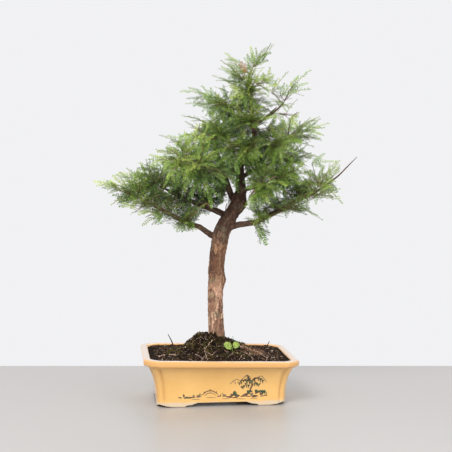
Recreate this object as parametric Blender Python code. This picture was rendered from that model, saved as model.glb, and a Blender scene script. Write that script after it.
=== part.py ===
"""Dawn redwood bonsai in a glazed rectangular pot.

Metres, +Z up. The pot's front faces -Y. The tree is drawn in a frame of its own,
(across, depth, height) from the middle of the pot, because its broad side is turned
a little to the pot's front. It is turned into place when every piece is made.
"""
import math
import random

import bmesh
import bpy
from mathutils import Matrix, Vector
from mathutils.bvhtree import BVHTree
from mathutils.noise import noise

# Clearance that touching pieces keep
GAP = 0.0003

# Pot
POT_HALF_WIDTH = 0.155
POT_HALF_DEPTH = 0.116
POT_HEIGHT = 0.0932
RIM_HEIGHT = 0.0150
NECK_INSET = 0.0094
BASE_INSET = 0.0266
FLARE_POWER = 2.8
WALL_LEVELS = 5
FLOOR_TOP = 0.017
# inset from the outermost line, height, depth of the corner grooves
NECK_HEIGHT = POT_HEIGHT - RIM_HEIGHT
RIM_PROFILE = (
    (0.0030, NECK_HEIGHT + 0.0010, 0.22), (0.0, NECK_HEIGHT + 0.0045, 0.22),
    (0.0, POT_HEIGHT - 0.0030, 0.22), (0.0030, POT_HEIGHT, 0.22),
    (0.0120, POT_HEIGHT - 0.0004, 0.10), (0.0148, POT_HEIGHT - 0.0034, 0.05),
)
INNER_PROFILE = ((0.0170, 0.084), (0.0255, 0.064), (0.0320, 0.040), (0.0350, FLOOR_TOP))
# the pot is a little out of true: how much its rim falls from left to right
WARP_SLOPE = 0.0255
# corner posts: size at rim and base, then shares of that size
CORNER_AT_RIM = 0.0245
CORNER_AT_BASE = 0.014
PANEL_END = 1.10
GROOVE_DEPTH = 0.22
POST_CENTRE = 0.72
POST_RADIUS = 0.56
POST_DEGREES = (-8, 25, 65, 98)
FOOT_HEIGHT = 0.009
FOOT_WALL = 0.014
FOOT_SEAT_FRONT = 0.054
FOOT_SEAT_SIDE = 0.046
# cloud-shaped gap between feet: distance from the seat's end, share of the foot's height
FOOT_BRACKET = ((0.0, -1.0), (0.0, 0.0), (0.006, 0.34), (0.014, 0.42), (0.019, 0.66), (0.027, 1.0))
DRAIN_RADIUS = 0.008
DRAIN_SPACING = 0.070

# Soil, with the mound that the old root ball makes
SOIL_EDGE_HEIGHT = 0.0905
SOIL_POINTS = 36
SOIL_RINGS = 6
SOIL_CORNER = 0.026
SOIL_EDGE_INSET = 0.0172
SOIL_INNER_SHARE = 0.06
SOIL_RING_BIAS = 0.9
SOIL_EDGE_RELIEF = 0.3
MOUND_FALLOFF = 0.7
# centre across, centre in depth, half width, half depth, height
MOUND_HUMPS = (
    (-0.020, 0.006, 0.030, 0.040, 0.0345),
    (-0.046, -0.004, 0.022, 0.034, 0.0170),
    (0.022, 0.008, 0.030, 0.036, 0.0180),
    (0.052, 0.010, 0.036, 0.032, 0.0065),
    (0.004, -0.050, 0.045, 0.028, 0.0075),
    (0.090, 0.030, 0.040, 0.040, 0.0040),
)
CRUMB_HEIGHT = 0.0022
CRUMB_SCALE = 0.014

# Trunk: across, depth, height, radius
TRUNK_BOTTOM = 0.080
TRUNK_FOOT_RADIUS = 0.0175
TRUNK_LINE = (
    (-0.001, 0.000, TRUNK_BOTTOM, TRUNK_FOOT_RADIUS),
    (-0.001, 0.000, 0.129, 0.0172),
    (-0.004, 0.000, 0.181, 0.0160),
    (-0.004, 0.001, 0.222, 0.0164),
    (-0.002, 0.001, 0.264, 0.0160),
    (0.002, 0.000, 0.305, 0.0166),
    (0.007, 0.000, 0.334, 0.0180),
    (0.016, 0.000, 0.358, 0.0170),
    (0.028, 0.000, 0.381, 0.0158),
    (0.039, 0.002, 0.402, 0.0140),
    (0.049, 0.004, 0.428, 0.0112),
    (0.046, 0.006, 0.476, 0.0092),
    (0.059, 0.004, 0.510, 0.0080),
    (0.078, 0.000, 0.531, 0.0068),
    (0.074, -0.003, 0.570, 0.0056),
    (0.068, 0.000, 0.612, 0.0042),
    (0.064, 0.002, 0.650, 0.0028),
    (0.067, 0.002, 0.668, 0.0021),
)
TRUNK_SIDES = 12
TRUNK_STEP = 0.030
HOLE_SIDES = 12
HOLE_REACH = 0.10

# Branches. Each starts inside the trunk or a bigger branch. Its route is a list of
# (across, depth, height), "thick" is the radius at its start, "size" the size of its
# sprays, and "twigs" are its side twigs: (how far along, side, length, rise), side 1
# being its left and -1 its right.
BRANCHES = {
    "second_stem": dict(
        route=((0.034, 0.004, 0.398), (0.027, 0.010, 0.418), (0.019, 0.016, 0.447),
               (0.012, 0.028, 0.476), (0.002, 0.042, 0.502), (-0.010, 0.056, 0.522)),
        thick=0.0085, size=0.85,
        twigs=((0.62, 1, 0.034, 0.20), (0.80, -1, 0.030, 0.35)),
    ),
    "low_left": dict(
        route=((0.003, 0.000, 0.328), (-0.014, -0.002, 0.337), (-0.036, -0.008, 0.353),
               (-0.066, -0.014, 0.363), (-0.107, -0.020, 0.386), (-0.138, -0.026, 0.402),
               (-0.160, -0.030, 0.413)),
        thick=0.0076, size=0.92,
        twigs=((0.36, 1, 0.030, 0.12), (0.46, -1, 0.034, 0.35), (0.58, 1, 0.036, 0.20),
               (0.68, -1, 0.036, 0.20), (0.82, 1, 0.028, 0.00), (0.90, -1, 0.024, 0.15)),
    ),
    "left": dict(
        route=((0.020, 0.002, 0.374), (-0.006, 0.012, 0.386), (-0.034, 0.026, 0.396),
               (-0.070, 0.040, 0.411), (-0.102, 0.052, 0.427), (-0.126, 0.058, 0.438)),
        thick=0.0074, size=0.92,
        twigs=((0.46, 1, 0.034, 0.20), (0.66, -1, 0.036, 0.25), (0.86, 1, 0.030, 0.20)),
    ),
    "left_front": dict(
        route=((0.047, 0.005, 0.458), (0.020, -0.020, 0.466), (-0.014, -0.046, 0.474),
               (-0.044, -0.066, 0.482), (-0.068, -0.076, 0.486)),
        thick=0.0050, size=0.90,
        twigs=((0.48, -1, 0.030, 0.35), (0.70, 1, 0.034, 0.05)),
    ),
    "mid_left": dict(
        route=((0.062, 0.004, 0.513), (0.034, 0.000, 0.523), (0.006, -0.004, 0.531),
               (-0.016, -0.006, 0.536)),
        thick=0.0046, size=0.85,
        twigs=((0.50, 1, 0.032, 0.15), (0.76, -1, 0.028, 0.30)),
    ),
    "high_left": dict(
        route=((0.073, -0.002, 0.574), (0.050, 0.000, 0.588), (0.022, 0.000, 0.602),
               (0.002, -0.002, 0.608)),
        thick=0.0036, size=0.74,
        twigs=((0.50, 1, 0.024, 0.15), (0.72, -1, 0.024, 0.30)),
    ),
    "low_right": dict(
        route=((0.018, 0.000, 0.350), (0.043, -0.004, 0.357), (0.077, -0.010, 0.362),
               (0.107, -0.016, 0.377), (0.146, -0.022, 0.395), (0.164, -0.024, 0.410),
               (0.188, -0.022, 0.421), (0.206, -0.018, 0.435)),
        thick=0.0078, size=0.90,
        twigs=((0.46, 1, 0.036, 0.25), (0.57, -1, 0.032, 0.10),
               (0.73, 1, 0.032, 0.20), (0.85, -1, 0.026, 0.10)),
    ),
    "hanging": dict(
        route=((0.083, -0.011, 0.362), (0.087, -0.014, 0.352)),
        thick=0.0018, size=0.50,
        twigs=(),
    ),
    "right": dict(
        route=((0.048, 0.004, 0.426), (0.070, -0.012, 0.431), (0.096, -0.030, 0.442),
               (0.116, -0.042, 0.452)),
        thick=0.0038, size=0.85,
        twigs=((0.60, -1, 0.028, 0.10), (0.80, 1, 0.028, 0.35)),
    ),
    "right_back": dict(
        route=((0.047, 0.006, 0.452), (0.072, 0.034, 0.468), (0.102, 0.054, 0.480),
               (0.132, 0.066, 0.490), (0.148, 0.070, 0.495)),
        thick=0.0056, size=0.86,
        twigs=((0.48, 1, 0.034, 0.15), (0.68, -1, 0.030, 0.30), (0.86, 1, 0.026, 0.20)),
    ),
    "mid_right": dict(
        route=((0.060, 0.004, 0.508), (0.090, -0.008, 0.513), (0.122, -0.018, 0.523),
               (0.144, -0.022, 0.534)),
        thick=0.0044, size=0.84,
        twigs=((0.48, -1, 0.032, 0.05), (0.72, 1, 0.030, 0.30)),
    ),
    "high_right": dict(
        route=((0.075, -0.002, 0.560), (0.098, 0.000, 0.574), (0.124, 0.003, 0.594),
               (0.138, 0.004, 0.610)),
        thick=0.0036, size=0.72,
        twigs=((0.50, -1, 0.026, 0.05), (0.76, 1, 0.024, 0.40)),
    ),
    "back": dict(
        route=((0.047, 0.006, 0.440), (0.044, 0.040, 0.452), (0.038, 0.072, 0.466),
               (0.034, 0.094, 0.476)),
        thick=0.0050, size=0.88,
        twigs=((0.55, 1, 0.034, 0.20), (0.72, -1, 0.032, 0.30)),
    ),
    "high_back": dict(
        route=((0.077, 0.000, 0.536), (0.080, 0.032, 0.548), (0.080, 0.056, 0.560)),
        thick=0.0040, size=0.82,
        twigs=((0.46, -1, 0.028, 0.25), (0.72, 1, 0.026, 0.35)),
    ),
    "inner_front": dict(
        route=((0.054, 0.004, 0.498), (0.044, -0.026, 0.506), (0.036, -0.046, 0.512)),
        thick=0.0032, size=0.84,
        twigs=((0.60, 1, 0.022, 0.25),),
    ),
    "high_front": dict(
        route=((0.077, -0.001, 0.545), (0.070, -0.028, 0.554), (0.062, -0.050, 0.562)),
        thick=0.0036, size=0.80,
        twigs=(),
    ),
    "top": dict(
        route=((0.067, 0.002, 0.664), (0.073, 0.002, 0.680)),
        thick=0.0022, size=0.60,
        twigs=(),
    ),
    "top_left": dict(
        route=((0.066, 0.001, 0.640), (0.052, -0.006, 0.652)),
        thick=0.0022, size=0.54,
        twigs=(),
    ),
    "top_right": dict(
        route=((0.065, 0.001, 0.634), (0.081, 0.006, 0.645)),
        thick=0.0022, size=0.58,
        twigs=(),
    ),
    "top_back": dict(
        route=((0.069, 0.000, 0.604), (0.071, 0.026, 0.618)),
        thick=0.0024, size=0.64,
        twigs=(),
    ),
    "top_front": dict(
        route=((0.068, 0.000, 0.612), (0.066, -0.024, 0.626)),
        thick=0.0024, size=0.62,
        twigs=(),
    ),
}
BRANCH_SIDES = 6
BRANCH_STEP = 0.034
TWIG_SIDES = 4
TWIG_ANGLE = math.radians(52)
TWIG_RADIUS = 0.0016
TWIG_BOW = 0.04
TIP_RADIUS = 0.0011
TAPER_POWER = 0.62

# Foliage sprays: a slim stem with one frond at its end and one at each side
STEM_LENGTH = 0.044
STEM_TIP_RADIUS = 0.0007
FROND_SINK = 0.002
FROND_LENGTH = 0.056
FROND_REACH = 0.0135
FROND_PAIRS = 4
SIDE_FROND_LENGTH = 0.044
SIDE_FROND_REACH = 0.0125
SIDE_FROND_PAIRS = 3
# share of the stem, side, tilt out of the spray's plane
SIDE_FRONDS = ((0.20, 1, math.radians(24)), (0.56, -1, math.radians(-20)))
SIDE_FROND_ANGLE = math.radians(50)
LEAFLET_SWEEP = 0.86
SHORTEST_LEAFLET = 0.30
FIRST_LEAFLET = 0.24
LEAFLET_TAPER = 0.80
RIB_HALF_WIDTH = 0.0009
RIB_TAPER = 0.4
BLADE_THICKNESS = 0.0008
FROND_DROOP = 0.22
CLEAR_THICKNESS = 0.0022
CLEAR_REACH = 0.0008
CLEAR_RADIUS = 0.0020
CLEAR_START = 0.0035
SPRAY_ROLL = (0.35, 1.05)
SPRAY_SPREAD = 0.12
SPRAY_TURN = 0.15
SPRAY_MOST_TURN = 0.5
SPRAY_SHRINK = 0.3
SPRAY_TRIES = 60
SEED = 7

# Seedling that came up beside the trunk
SEEDLING_FOOT = (0.023, -0.050)
SEEDLING_STEM_RADIUS = 0.0012
SEEDLING_STEM_HEIGHT = 0.007
SEEDLING_SINK = 0.006
SEEDLING_LEAF_LENGTH = 0.017
SEEDLING_LEAF_WIDTH = 0.012
SEED_LEAF_START = 0.46
SEED_LEAF_TURNS = (math.radians(23), math.radians(191))
SEED_LEAF_LIFT = math.radians(34)
SEED_LEAF_ROLLS = (math.radians(44), math.radians(-52))

TREE_TURN = math.radians(-7)


def clear_scene():
    for old in list(bpy.data.objects):
        bpy.data.objects.remove(old)


def new_collection(name, hidden=False):
    collection = bpy.data.collections.new(name)
    bpy.context.scene.collection.children.link(collection)
    collection.hide_render = hidden
    return collection


def new_material(name, colour, roughness, coat=0.0):
    material = bpy.data.materials.new(name)
    material.use_nodes = True
    shader = material.node_tree.nodes["Principled BSDF"]
    shader.inputs["Base Color"].default_value = (*colour, 1.0)
    shader.inputs["Roughness"].default_value = roughness
    shader.inputs["Coat Weight"].default_value = coat
    return material


def object_from_bmesh(name, bm, collection, material=None):
    mesh = bpy.data.meshes.new(name)
    bm.to_mesh(mesh)
    bm.free()
    obj = bpy.data.objects.new(name, mesh)
    collection.objects.link(obj)
    if material:
        mesh.materials.append(material)
    return obj


def loft(bm, rings):
    """Closed solid through rings of equal counts, capped at both ends."""
    loops = [[bm.verts.new(point) for point in ring] for ring in rings]
    count = len(loops[0])
    for lower, upper in zip(loops, loops[1:]):
        for i in range(count):
            j = (i + 1) % count
            bm.faces.new((lower[i], lower[j], upper[j], upper[i]))
    bm.faces.new(reversed(loops[0]))
    bm.faces.new(loops[-1])
    bmesh.ops.recalc_face_normals(bm, faces=bm.faces)


def apply_modifiers(obj):
    """Swap the object's mesh for the one that its modifiers give."""
    graph = bpy.context.evaluated_depsgraph_get()
    mesh = bpy.data.meshes.new_from_object(obj.evaluated_get(graph))
    obj.modifiers.clear()
    obj.data = mesh


def cut(obj, cutter, name):
    modifier = obj.modifiers.new(name, "BOOLEAN")
    modifier.operation = "DIFFERENCE"
    modifier.object = cutter
    cutter.hide_render = True
    cutter.display_type = "WIRE"


def fuse(obj, pieces, solver="EXACT"):
    """Join a collection's pieces to the object and remove them."""
    modifier = obj.modifiers.new("fuse", "BOOLEAN")
    modifier.operation = "UNION"
    modifier.operand_type = "COLLECTION"
    modifier.collection = pieces
    modifier.solver = solver
    apply_modifiers(obj)
    for piece in list(pieces.objects):
        bpy.data.objects.remove(piece)
    bpy.data.collections.remove(pieces)


# Pot

def corner_size(inset):
    """The corner posts widen with the flare."""
    share = min(inset / BASE_INSET, 1.0)
    return CORNER_AT_RIM + (CORNER_AT_BASE - CORNER_AT_RIM) * share


def quarter_corner(half_width, half_depth, corner, groove):
    """Panel end, groove and rounded post of the corner at +X +Y, anticlockwise."""
    points = [(half_width, half_depth - PANEL_END * corner)]
    points.append((half_width - groove, half_depth - corner))
    centre_x = half_width - POST_CENTRE * corner
    centre_y = half_depth - POST_CENTRE * corner
    radius = POST_RADIUS * corner
    for degrees in POST_DEGREES:
        turn = math.radians(degrees)
        points.append((centre_x + radius * math.cos(turn), centre_y + radius * math.sin(turn)))
    points.append((half_width - corner, half_depth - groove))
    points.append((half_width - PANEL_END * corner, half_depth))
    return points


def warped(point):
    """Raise the left end and lower the right one, more so towards the rim."""
    share = max(0.0, (point.z - FLOOR_TOP) / (POT_HEIGHT - FLOOR_TOP))
    return Vector((point.x, point.y, point.z - WARP_SLOPE * point.x * share))


def pot_ring(inset, height, groove_share=GROOVE_DEPTH):
    half_width = POT_HALF_WIDTH - inset
    half_depth = POT_HALF_DEPTH - inset
    corner = corner_size(inset)
    quarter = quarter_corner(half_width, half_depth, corner, groove_share * corner)
    mirrored = [(-x, y) for x, y in reversed(quarter)]
    half = quarter + mirrored
    ring = half + [(-x, -y) for x, y in half]
    return [warped(Vector((x, y, height))) for x, y in ring]


def wall_inset(height):
    """Concave flare from the base up to the neck under the rim."""
    share = height / NECK_HEIGHT
    return BASE_INSET - (BASE_INSET - NECK_INSET) * share ** FLARE_POWER


def foot_cutter(name, seat_end, along_y, cutters):
    """Bar with the section of the gap between two feet, right through the pot."""
    half = [(seat_end - inward, share * FOOT_HEIGHT) for inward, share in FOOT_BRACKET]
    outline = half + [(-x, z) for x, z in reversed(half)]
    reach = 2 * POT_HALF_WIDTH
    bm = bmesh.new()
    if along_y:
        rings = [[Vector((x, y, z)) for x, z in outline] for y in (-reach, reach)]
    else:
        rings = [[Vector((x, y, z)) for y, z in outline] for x in (-reach, reach)]
    loft(bm, rings)
    return object_from_bmesh(name, bm, cutters)


def make_pot(parts, cutters, glaze):
    levels = [NECK_HEIGHT * i / WALL_LEVELS for i in range(WALL_LEVELS + 1)]
    outer = [pot_ring(wall_inset(height), height) for height in levels]
    rim = [pot_ring(*step) for step in RIM_PROFILE]
    inner = [pot_ring(inset, height, 0.0) for inset, height in INNER_PROFILE]
    bm = bmesh.new()
    loft(bm, outer + rim + inner)
    pot = object_from_bmesh("pot", bm, parts, glaze)

    bm = bmesh.new()
    recess_inset = BASE_INSET + FOOT_WALL
    loft(bm, [pot_ring(recess_inset, z, 0.0) for z in (-FOOT_HEIGHT, FOOT_HEIGHT)])
    cut(pot, object_from_bmesh("recess_cutter", bm, cutters), "recess")
    base_half_width = POT_HALF_WIDTH - BASE_INSET
    base_half_depth = POT_HALF_DEPTH - BASE_INSET
    front = foot_cutter("front_gap_cutter", base_half_width - FOOT_SEAT_FRONT, True, cutters)
    side = foot_cutter("side_gap_cutter", base_half_depth - FOOT_SEAT_SIDE, False, cutters)
    cut(pot, front, "front_gap")
    cut(pot, side, "side_gap")
    for side_name, sign in (("left", -1), ("right", 1)):
        bm = bmesh.new()
        place = Matrix.Translation((sign * DRAIN_SPACING, 0, FLOOR_TOP / 2))
        bmesh.ops.create_cone(bm, cap_ends=True, segments=12, radius1=DRAIN_RADIUS,
                              radius2=DRAIN_RADIUS, depth=2 * FLOOR_TOP, matrix=place)
        drain = object_from_bmesh("drain_cutter_" + side_name, bm, cutters)
        cut(pot, drain, "drain_" + side_name)
    return pot


# Soil

def soil_outline(half_width, half_depth):
    """Evenly spaced points round a rectangle with rounded corners."""
    straight = (2 * (half_width - SOIL_CORNER), 2 * (half_depth - SOIL_CORNER))
    arc = SOIL_CORNER * math.pi / 2
    runs = (straight[1], arc, straight[0], arc) * 2
    total = sum(runs)
    corners = ((1, 1), (-1, 1), (-1, -1), (1, -1))
    points = []
    for i in range(SOIL_POINTS):
        left = total * i / SOIL_POINTS
        for k, run in enumerate(runs):
            if left < run:
                break
            left -= run
        side, on_arc = divmod(k, 2)
        sx, sy = corners[side]
        centre = Vector((sx * (half_width - SOIL_CORNER), sy * (half_depth - SOIL_CORNER)))
        turn = side * math.pi / 2
        if on_arc:
            turn += left / SOIL_CORNER
            point = centre + SOIL_CORNER * Vector((math.cos(turn), math.sin(turn)))
        else:
            along = Vector((-math.sin(turn), math.cos(turn)))
            start = centre - along * run + SOIL_CORNER * Vector((math.cos(turn), math.sin(turn)))
            point = start + along * left
        points.append(point)
    return points


def soil_height(x, y):
    """Level soil, a mound round the trunk, and crumbs."""
    height = SOIL_EDGE_HEIGHT
    for across, depth, half_width, half_depth, rise in MOUND_HUMPS:
        spread = ((x - across) / half_width) ** 2 + ((y - depth) / half_depth) ** 2
        height += rise * math.exp(-MOUND_FALLOFF * spread)
    crumbs = noise(Vector((x, y, 0.0)) / CRUMB_SCALE)
    return height + CRUMB_HEIGHT * crumbs


def make_soil(parts, cutters, earth):
    rings = []
    for inset, height in reversed(INNER_PROFILE[1:]):
        outline = soil_outline(POT_HALF_WIDTH - inset - 2 * GAP, POT_HALF_DEPTH - inset - 2 * GAP)
        lift = GAP if height == FLOOR_TOP else 0.0
        rings.append([warped(Vector((*point, height + lift))) for point in outline])
    edge = soil_outline(POT_HALF_WIDTH - SOIL_EDGE_INSET, POT_HALF_DEPTH - SOIL_EDGE_INSET)
    trunk = Vector(TRUNK_LINE[0][:2])
    for k in range(SOIL_RINGS + 1):
        share = 1 - (1 - SOIL_INNER_SHARE) * (k / SOIL_RINGS) ** SOIL_RING_BIAS
        relief = min(1.0, SOIL_EDGE_RELIEF + 2 * (1 - share))
        ring = []
        for point in edge:
            x, y = trunk.lerp(point, share)
            level = SOIL_EDGE_HEIGHT + (soil_height(x, y) - SOIL_EDGE_HEIGHT) * relief
            ring.append(warped(Vector((x, y, level))))
        rings.append(ring)
    bm = bmesh.new()
    loft(bm, rings)
    soil = object_from_bmesh("soil", bm, parts, earth)

    x, y = SEEDLING_FOOT
    holes = (
        ("trunk", *trunk, TRUNK_BOTTOM, TRUNK_FOOT_RADIUS),
        ("seedling", x, y, soil_height(x, y) - SEEDLING_SINK, SEEDLING_STEM_RADIUS),
    )
    for name, x, y, bottom, radius in holes:
        hole_radius = (radius + GAP) / math.cos(math.pi / HOLE_SIDES) + GAP
        bm = bmesh.new()
        place = Matrix.Translation((x, y, bottom - GAP + HOLE_REACH / 2))
        bmesh.ops.create_cone(bm, cap_ends=True, segments=HOLE_SIDES, radius1=hole_radius,
                              radius2=hole_radius, depth=HOLE_REACH, matrix=place)
        cut(soil, object_from_bmesh(name + "_hole_cutter", bm, cutters), name + "_hole")
    apply_modifiers(soil)
    return soil


# Wood

def smooth_route(route, step):
    """Points about one step apart on a smooth curve through the route's own points."""
    points = [Vector(point) for point in route]
    ends = [2 * points[0] - points[1], *points, 2 * points[-1] - points[-2]]
    result = [points[0]]
    for before, start, end, after in zip(ends, ends[1:], ends[2:], ends[3:]):
        pieces = max(1, round((end - start).to_3d().length / step))
        for i in range(1, pieces + 1):
            t = i / pieces
            point = 0.5 * (2 * start + (end - before) * t
                           + (2 * before - 5 * start + 4 * end - after) * t ** 2
                           + (3 * start - before - 3 * end + after) * t ** 3)
            result.append(point)
    return result


def tapered_tube(name, points, radii, sides, collection):
    """Mesh tube with few sides: a poly curve with a bevel, its caps welded."""
    curve = bpy.data.curves.new(name, "CURVE")
    curve.dimensions = "3D"
    curve.bevel_depth = 1.0
    curve.bevel_resolution = (sides - 4) // 2
    curve.use_fill_caps = True
    spline = curve.splines.new("POLY")
    spline.points.add(len(points) - 1)
    for slot, point, radius in zip(spline.points, points, radii):
        slot.co = (*point[:3], 1.0)
        slot.radius = radius
    guide = bpy.data.objects.new(name + "_curve", curve)
    collection.objects.link(guide)
    graph = bpy.context.evaluated_depsgraph_get()
    mesh = bpy.data.meshes.new_from_object(guide.evaluated_get(graph))
    bpy.data.objects.remove(guide)
    bm = bmesh.new()
    bm.from_mesh(mesh)
    bmesh.ops.remove_doubles(bm, verts=bm.verts, dist=0.00005)
    bmesh.ops.recalc_face_normals(bm, faces=bm.faces)
    return object_from_bmesh(name, bm, collection)


def point_along(points, share):
    """Place and direction at a share of a line's length."""
    lengths = [(b - a).length for a, b in zip(points, points[1:])]
    left = share * sum(lengths)
    for a, b, length in zip(points, points[1:], lengths):
        if left <= length:
            return a.lerp(b, left / length), (b - a).normalized()
        left -= length
    return points[-1], (points[-1] - points[-2]).normalized()


def twig_heading(direction, side, rise):
    """Direction of a side twig: turned from its branch, level but for its rise."""
    level = Vector((direction.x, direction.y, 0)).normalized()
    turned = Matrix.Rotation(side * TWIG_ANGLE, 3, "Z") @ level
    return (turned + Vector((0, 0, rise))).normalized()


def make_wood(parts, bark):
    """Trunk, branches and twigs in one solid, and where each spray starts."""
    line = smooth_route(TRUNK_LINE, TRUNK_STEP)
    wood = tapered_tube("trunk_and_branches", [Vector(p[:3]) for p in line],
                        [p[3] for p in line], TRUNK_SIDES, parts)
    wood.data.materials.append(bark)
    pieces = new_collection("wood_pieces")
    starts = []
    for name, branch in BRANCHES.items():
        points = smooth_route(branch["route"], BRANCH_STEP)
        last = len(points) - 1
        radii = [TIP_RADIUS + (branch["thick"] - TIP_RADIUS) * (1 - i / last) ** TAPER_POWER
                 for i in range(last + 1)]
        sides = BRANCH_SIDES if branch["twigs"] else TWIG_SIDES
        tapered_tube(name, points, radii, sides, pieces)
        tip_direction = (points[-1] - points[-2]).normalized()
        starts.append((name, points[-1], tip_direction, branch["size"]))
        for number, (share, side, length, rise) in enumerate(branch["twigs"], 1):
            root, direction = point_along(points, share)
            heading = twig_heading(direction, side, rise)
            bow = Vector((0, 0, TWIG_BOW * length))
            twig = [root, root + heading * length / 2 + bow, root + heading * length]
            radii = (TWIG_RADIUS, (TWIG_RADIUS + TIP_RADIUS) / 2, TIP_RADIUS)
            tapered_tube("twig", twig, radii, TWIG_SIDES, pieces)
            tip_direction = (twig[2] - twig[1]).normalized()
            starts.append((f"{name}_{number}", twig[2], tip_direction, branch["size"]))
    fuse(wood, pieces)
    return wood, starts


# Foliage

def leaflet_reach(share, reach):
    """Leaflets are longest a third of the way out and short at the tip."""
    rise = math.sin(math.pi * min(1.0, FIRST_LEAFLET + LEAFLET_TAPER * share))
    return reach * (SHORTEST_LEAFLET + (1 - SHORTEST_LEAFLET) * rise)


def add_frond(bm, length, reach, pairs, thickness, margin, place):
    """Arched blade along +X, its outline cut into forward-pointing leaflets."""
    blade = bmesh.new()
    rows = 2 * pairs
    bmesh.ops.create_grid(blade, x_segments=rows, y_segments=1, size=0.5)
    pitch = length / pairs
    for vert in blade.verts:
        row = round((vert.co.x + 0.5) * rows)
        side = 1 if vert.co.y > 0 else -1
        pair, is_tip = divmod(row, 2)
        share = pair / pairs
        if is_tip:
            x = (pair + LEAFLET_SWEEP) * pitch
            y = leaflet_reach(share, reach)
        else:
            x = pair * pitch
            y = RIB_HALF_WIDTH * (1 - RIB_TAPER * share)
        droop = FROND_DROOP * length * (x / length) ** 2
        vert.co = Vector((x, side * (y + margin), -droop - thickness / 2))
    bmesh.ops.recalc_face_normals(blade, faces=blade.faces)
    bmesh.ops.solidify(blade, geom=blade.faces[:], thickness=thickness)
    bmesh.ops.recalc_face_normals(blade, faces=blade.faces)
    blade.transform(place)
    mesh = bpy.data.meshes.new("frond")
    blade.to_mesh(mesh)
    blade.free()
    bm.from_mesh(mesh)
    bpy.data.meshes.remove(mesh)


def spray_fronds(size):
    """Length, reach, pairs and place of each frond of a spray in its own frame."""
    stem = STEM_LENGTH * size
    fronds = [(FROND_LENGTH * size, FROND_REACH * size, FROND_PAIRS,
               Matrix.Translation((stem - FROND_SINK, 0, 0)))]
    for share, side, tilt in SIDE_FRONDS:
        place = Matrix.Translation((share * stem, 0, 0))
        place @= Matrix.Rotation(side * SIDE_FROND_ANGLE, 4, "Z")
        place @= Matrix.Rotation(tilt, 4, "X")
        fronds.append((SIDE_FROND_LENGTH * size, SIDE_FROND_REACH * size,
                       SIDE_FROND_PAIRS, place))
    return fronds


def spray_place(root, direction, roll):
    """Spray frame: +X along the stem, +Z as near upright as the stem allows."""
    x_axis = direction.normalized()
    y_axis = Vector((0, 0, 1)).cross(x_axis).normalized()
    z_axis = x_axis.cross(y_axis)
    turn = Matrix((x_axis, y_axis, z_axis)).transposed().to_4x4()
    return Matrix.Translation(root) @ turn @ Matrix.Rotation(roll, 4, "X")


def clearance_tree(size, place):
    """Search tree of a spray, its stem and fronds thicker and wider than they are."""
    bm = bmesh.new()
    length = STEM_LENGTH * size
    middle = Matrix.Translation((length / 2 + CLEAR_START, 0, 0))
    middle @= Matrix.Rotation(math.pi / 2, 4, "Y")
    bmesh.ops.create_cone(bm, cap_ends=True, segments=TWIG_SIDES, radius1=CLEAR_RADIUS,
                          radius2=CLEAR_RADIUS, depth=length, matrix=place @ middle)
    for length, reach, pairs, frond_place in spray_fronds(size):
        add_frond(bm, length + CLEAR_REACH, reach, pairs, CLEAR_THICKNESS, CLEAR_REACH,
                  place @ frond_place)
    tree = BVHTree.FromBMesh(bm)
    bm.free()
    return tree


def make_spray(name, size, place, parts, leaf):
    stem = STEM_LENGTH * size
    points = [place @ Vector((x, 0, 0)) for x in (GAP, stem / 2, stem + FROND_SINK)]
    radii = (TIP_RADIUS, (TIP_RADIUS + STEM_TIP_RADIUS) / 2, STEM_TIP_RADIUS)
    spray = tapered_tube(name, points, radii, TWIG_SIDES, parts)
    spray.data.materials.append(leaf)
    pieces = new_collection(name + "_fronds")
    for length, reach, pairs, frond_place in spray_fronds(size):
        bm = bmesh.new()
        add_frond(bm, length, reach, pairs, BLADE_THICKNESS, 0.0, place @ frond_place)
        object_from_bmesh("frond", bm, pieces)
    fuse(spray, pieces)
    return spray


def make_foliage(wood, starts, parts, leaf):
    """A spray at each twig end, turned or shrunk until it clears its neighbours."""
    draw = random.Random(SEED)
    bm = bmesh.new()
    bm.from_mesh(wood.data)
    taken = [BVHTree.FromBMesh(bm)]
    bm.free()
    sprays = []
    for name, root, direction, usual_size in starts:
        for attempt in range(SPRAY_TRIES):
            freedom = attempt / SPRAY_TRIES
            size = usual_size * (1 + draw.uniform(-1, 1) * SPRAY_SPREAD)
            size *= 1 - SPRAY_SHRINK * freedom
            turn = draw.uniform(-1, 1) * (SPRAY_TURN + freedom * SPRAY_MOST_TURN)
            swing = Matrix.Rotation(turn, 3, "Z")
            tilt = Vector((0, 0, draw.uniform(-1, 1) * freedom * SPRAY_MOST_TURN))
            heading = (swing @ direction + tilt).normalized()
            roll = draw.choice((-1, 1)) * draw.uniform(*SPRAY_ROLL)
            place = spray_place(root, heading, roll)
            tree = clearance_tree(size, place)
            if not any(tree.overlap(other) for other in taken):
                break
        else:
            print("no room for", name)
            continue
        spray = make_spray("spray_" + name, size, place, parts, leaf)
        bm = bmesh.new()
        bm.from_mesh(spray.data)
        taken.append(BVHTree.FromBMesh(bm))
        bm.free()
        sprays.append(spray)
    return sprays


# Seedling

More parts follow.
